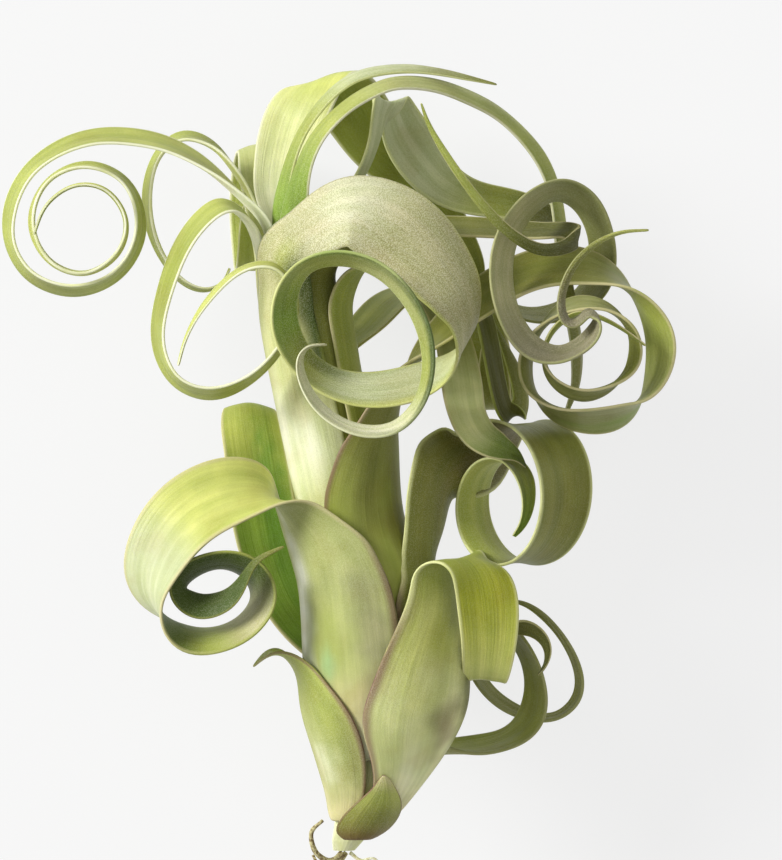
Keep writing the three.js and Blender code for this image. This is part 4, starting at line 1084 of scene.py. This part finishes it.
# Gives a leaf's sheet of faces its thickness, with a skin of its own on each side and the rim
def thicken(leaf):
    shares = [item.value for item in leaf.data.attributes["thick"].data]
    group = leaf.vertex_groups.new(name="thickness")
    for k, share in enumerate(shares):
        group.add([k], share, "REPLACE")
    blade = leaf.modifiers.new("blade", "SOLIDIFY")
    blade.thickness = BLADE_THICKNESS * MM
    blade.offset = 0
    blade.vertex_group = "thickness"
    blade.material_offset = 1
    blade.material_offset_rim = 2
    rounding = leaf.modifiers.new("rounding", "SUBSURF")
    rounding.levels = 1
    rounding.render_levels = 1


def make_leaf(name, leaf, seed):
    rows = leaf_rows(leaf)
    runs = row_runs(rows)
    look = LOOKS[name]
    last = len(rows) - 1
    cells = BULB_CELLS if leaf.get("bulb") else NECK_CELLS
    bm = bmesh.new()
    bm.loops.layers.uv.new("along the leaf")
    bmesh.ops.create_grid(bm, x_segments=cells, y_segments=last, size=1, calc_uvs=True)
    numbers = {word: bm.verts.layers.float.new(word) for word in NUMBERS}
    tints = {word: bm.verts.layers.float_color.new(word) for word in TINTS}
    for vert in bm.verts:
        u = vert.co.x
        k = round((vert.co.y + 1) / 2 * last)
        t = runs[k] / runs[-1]
        vert.co = leaf_point(rows[k], u, t, runs[k], seed)
        for word, value in leaf_numbers(look, u, t, runs[k], seed).items():
            vert[numbers[word]] = value
        for word, colour in leaf_tints(name, look, t, u).items():
            vert[tints[word]] = (*colour, 1)
    piece = new_object(name, bm)
    shade_smooth(piece)
    thicken(piece)
    return piece


class Nodes:
    """Adds shader nodes to a material, wired by name."""

    def __init__(self, name):
        self.material = bpy.data.materials.new(name)
        self.material.use_nodes = True
        self.tree = self.material.node_tree
        self.shader = self.tree.nodes["Principled BSDF"]

    def add(self, kind, values=None, **settings):
        node = self.tree.nodes.new("ShaderNode" + kind)
        for key, value in settings.items():
            setattr(node, key, value)
        for key, value in (values or {}).items():
            self.wire(value, node.inputs[key])
        return node

    def wire(self, value, socket):
        if isinstance(value, bpy.types.NodeSocket):
            self.tree.links.new(value, socket)
        else:
            socket.default_value = value

    # Wires or sets the shader's own sockets and hands back the material
    def finished(self, values):
        for key, value in values.items():
            self.wire(value, self.shader.inputs[key])
        return self.material

    def attribute(self, word, output="Fac"):
        return self.add("Attribute", attribute_name=word).outputs[output]

    def times(self, a, b):
        return self.maths("MULTIPLY", a, b)

    def maths(self, operation, a, b=0.0):
        node = self.add("Math", operation=operation)
        self.wire(a, node.inputs[0])
        self.wire(b, node.inputs[1])
        return node.outputs[0]

    # Carries a value from one range to 0 to 1, eased
    def step(self, value, low, high):
        node = self.add("MapRange", {"Value": value, "From Min": low, "From Max": high},
                        interpolation_type="SMOOTHSTEP")
        return node.outputs["Result"]

    def noise(self, vector, scale=1.0, detail=2.0):
        return self.add("TexNoise", {"Vector": vector, "Scale": scale, "Detail": detail}).outputs["Fac"]

    # A Mix node takes its colours at inputs 6 and 7 and gives one at output 2
    def blend(self, share, a, b, how="MIX"):
        node = self.add("Mix", data_type="RGBA", blend_type=how)
        self.wire(share, node.inputs[0])
        self.wire(a, node.inputs[6])
        self.wire(b, node.inputs[7])
        return node.outputs[2]

    # Multiplies a colour by a tint where a value says so, by a share of it
    def tinted(self, colour, tint, where, share):
        tinted = self.blend(1.0, colour, tint, "MULTIPLY")
        return self.blend(self.times(where, share), colour, tinted)

    def bump(self, height, distance, strength, normal=None):
        node = self.add("Bump", {"Height": height, "Distance": distance, "Strength": strength})
        if normal is not None:
            self.wire(normal, node.inputs["Normal"])
        return node.outputs["Normal"]

    # Where a point is on its object
    def here(self):
        return self.add("TexCoord").outputs["Object"]

    # Noise that runs in lines along the leaf: counts are to half its width and to a centimetre
    def leaf_lines(self, across, along, detail):
        seed_step = 13.7
        spot = {
            "X": self.times(self.attribute("across"), across),
            "Y": self.times(self.attribute("run"), along),
            "Z": self.times(self.attribute("seed"), seed_step),
        }
        return self.noise(self.add("CombineXYZ", spot).outputs["Vector"], detail=detail)


# A leaf's colour with broad shades, fine pale lines, clouds and the margin's own colour
def leaf_colour(n, side, fine):
    broad = n.leaf_lines(across=3.0, along=0.35, detail=3.0)
    cloud = n.noise(n.here(), scale=110.0, detail=5.0)
    edge = n.maths("ABSOLUTE", n.attribute("across"))
    colour = n.attribute(side + " tint", "Color")
    colour = n.tinted(colour, BROAD_SHADE, n.step(broad, low=0.3, high=0.7), share=1.0)
    colour = n.tinted(colour, PALE_LINES, n.step(fine, low=0.42, high=0.68), share=0.28)
    colour = n.tinted(colour, PALE_CLOUDS, n.step(cloud, low=0.5, high=0.34), share=0.55)
    colour = n.tinted(colour, DARK_CLOUDS, n.step(cloud, low=0.48, high=0.68), share=0.55)
    margin = n.attribute("margin tint", "Color")
    return n.blend(n.times(n.step(edge, low=0.86, high=0.96), MARGIN_COVER), colour, margin)


# Sprinkles silvery scales over a colour, with darker pits between them
def scaly(n, side, colour, grain):
    scales = n.attribute(side + " scales")
    specks = n.times(n.step(grain, low=0.48, high=0.62), n.times(scales, SPECK_COVER))
    silvered = n.blend(specks, colour, n.blend(SILVERING, colour, SCALE_SILVER))
    pits = n.step(grain, low=0.52, high=0.38)
    return n.tinted(silvered, DARK_PITS, pits, share=n.times(scales, PIT_COVER))


def leaf_material(name, side, roughness, relief):
    n = Nodes(name)
    fine = n.leaf_lines(across=13.0, along=0.5, detail=4.0)
    grain = n.noise(n.here(), scale=5200.0, detail=1.0)
    ridges = n.bump(fine, distance=relief * MM, strength=0.8)
    return n.finished({
        "Base Color": scaly(n, side, leaf_colour(n, side, fine), grain),
        "Normal": n.bump(grain, distance=0.06 * MM, strength=0.6, normal=ridges),
        "Roughness": roughness,
        "Specular IOR Level": 0.22,
        "Subsurface Weight": 0.12,
        "Subsurface Radius": (0.9, 1.0, 0.35),
        "Subsurface Scale": 1.5 * MM,
    })


def margin_material():
    n = Nodes("leaf margin")
    fine = n.leaf_lines(across=4.0, along=1.2, detail=3.0)
    tint = n.attribute("outer tint", "Color")
    margin = n.attribute("margin tint", "Color")
    return n.finished({
        "Base Color": n.blend(n.step(fine, low=0.2, high=0.6), tint, margin),
        "Normal": n.bump(fine, distance=0.15 * MM, strength=0.6),
        "Roughness": 0.55,
    })


def core_material():
    n = Nodes("pale stem")
    stretched = n.add("Mapping", {"Vector": n.here(), "Scale": (500.0, 60.0, 500.0)}).outputs["Vector"]
    fibres = n.noise(stretched, detail=4.0)
    return n.finished({
        "Base Color": n.blend(fibres, (*light("cream"), 1), (*light("lime"), 1)),
        "Normal": n.bump(fibres, distance=0.3 * MM, strength=0.6),
        "Roughness": 0.6,
    })


def root_material(name, dark, pale):
    n = Nodes(name)
    bark = n.noise(n.here(), scale=1400.0, detail=4.0)
    return n.finished({
        "Base Color": n.blend(n.step(bark, low=0.35, high=0.65), (*light(dark), 1), (*light(pale), 1)),
        "Normal": n.bump(bark, distance=0.2 * MM, strength=0.8),
        "Roughness": 0.85,
    })


# A pale floor that glows by its own emission, though it is no lamp: painted light that washes out the
# shadows cast on it and also lights the leaves from below
def floor_material():
    n = Nodes("pale glowing surface")
    return n.finished({
        "Base Color": (0.15, 0.15, 0.15, 1),
        "Roughness": 0.9,
        "Specular IOR Level": 0.1,
        "Emission Color": (1, 1, 1, 1),
        "Emission Strength": 0.77,
    })


# How thick a root is at one point of its length
def root_radius(radius, t):
    spots, per_root, start = ROOT_ROUGH_SPOTS
    rough = 1 + ROOT_ROUGHNESS * noise.noise(Vector((t * spots, radius * per_root, start)))
    return radius * mix(1, ROOT_TIP_SHARE, t) * rough


def make_root(name, radius, points):
    middle = [Vector(p) for p in points]
    bm = bmesh.new()
    ends = []
    for k in range(ROOT_RINGS + 1):
        t = k / ROOT_RINGS
        way = curve_way(middle, t)
        centre = round_curve(middle, t)
        side = way.cross(Vector((0, 0, 1))).normalized()
        top = side.cross(way)
        thick = root_radius(radius, t)
        capped = k in (0, ROOT_RINGS)
        turn = bmesh.ops.create_circle(bm, cap_ends=capped, segments=ROOT_SIDES, radius=1)
        for vert in turn["verts"]:
            flat = vert.co.copy()
            vert.co = to_frame(centre + side * (flat.x * thick) + top * (flat.y * thick))
        ring = [edge for edge in bm.edges if all(v in turn["verts"] for v in edge.verts)]
        if ends:
            bmesh.ops.bridge_loops(bm, edges=ends + ring)
        ends = ring
    bmesh.ops.recalc_face_normals(bm, faces=bm.faces)
    piece = new_object(name, bm)
    shade_smooth(piece)
    return piece


# Hangs a piece on the body that carries it and hides the model's part that it stands in for
def declare(piece, node):
    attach(piece, "root")
    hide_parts(node)


def make_leaves():
    skins = [
        leaf_material("leaf outside", "outer", roughness=0.5, relief=0.2),
        leaf_material("leaf hollow side", "hollow", roughness=0.42, relief=0.16),
        margin_material(),
    ]
    for seed, (name, leaf) in enumerate(LEAVES.items(), 1):
        piece = make_leaf(name, leaf, seed)
        piece.name = "fine_" + name
        for skin in skins:
            piece.data.materials.append(skin)
        declare(piece, name)


def make_roots():
    dry = root_material("dry root", "brown", "straw")
    pale = root_material("pale root", "straw", "cream")
    for name, (radius, points) in ROOTS.items():
        piece = make_root("fine_" + name, radius, points)
        piece.data.materials.append(pale if name == "root_pale" else dry)
        declare(piece, name)


def dress_core():
    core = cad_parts["core"]
    core.data.materials.clear()
    core.data.materials.append(core_material())


def make_floor():
    bm = bmesh.new()
    bmesh.ops.create_grid(bm, x_segments=1, y_segments=1, size=FLOOR_REACH)
    floor = new_object("floor", bm)
    floor.data.materials.append(floor_material())


def make_camera():
    lens = bpy.data.cameras.new("camera")
    lens.sensor_fit = "AUTO"
    lens.sensor_width = SENSOR
    lens.lens = SENSOR * EYE_HEIGHT / VIEW_TALL
    lens.clip_start = NEAREST_SEEN
    lens.clip_end = FARTHEST_SEEN
    camera = bpy.data.objects.new("camera", lens)
    camera.location = to_frame(Vector((0, 0, EYE_HEIGHT)))
    bpy.context.scene.collection.objects.link(camera)
    bpy.context.scene.camera = camera


# A round lamp that shines at the frame's origin
def make_lamp(name, at, size, power):
    lamp = bpy.data.lights.new(name, "AREA")
    lamp.shape = "DISK"
    lamp.size = size
    lamp.energy = power
    holder = bpy.data.objects.new(name, lamp)
    holder.location = at
    holder.rotation_mode = "QUATERNION"
    holder.rotation_quaternion = (-Vector(at)).to_track_quat("-Z", "Y")
    bpy.context.scene.collection.objects.link(holder)


def make_light():
    world = bpy.data.worlds.new("soft room")
    world.use_nodes = True
    backdrop = world.node_tree.nodes["Background"]
    backdrop.inputs["Color"].default_value = ROOM_COLOUR
    backdrop.inputs["Strength"].default_value = ROOM_STRENGTH
    bpy.context.scene.world = world
    for name, lamp in LAMPS.items():
        make_lamp(name, **lamp)
    bpy.context.scene.view_settings.view_transform = "Standard"


make_camera()
make_floor()
make_light()
make_leaves()
make_roots()
dress_core()
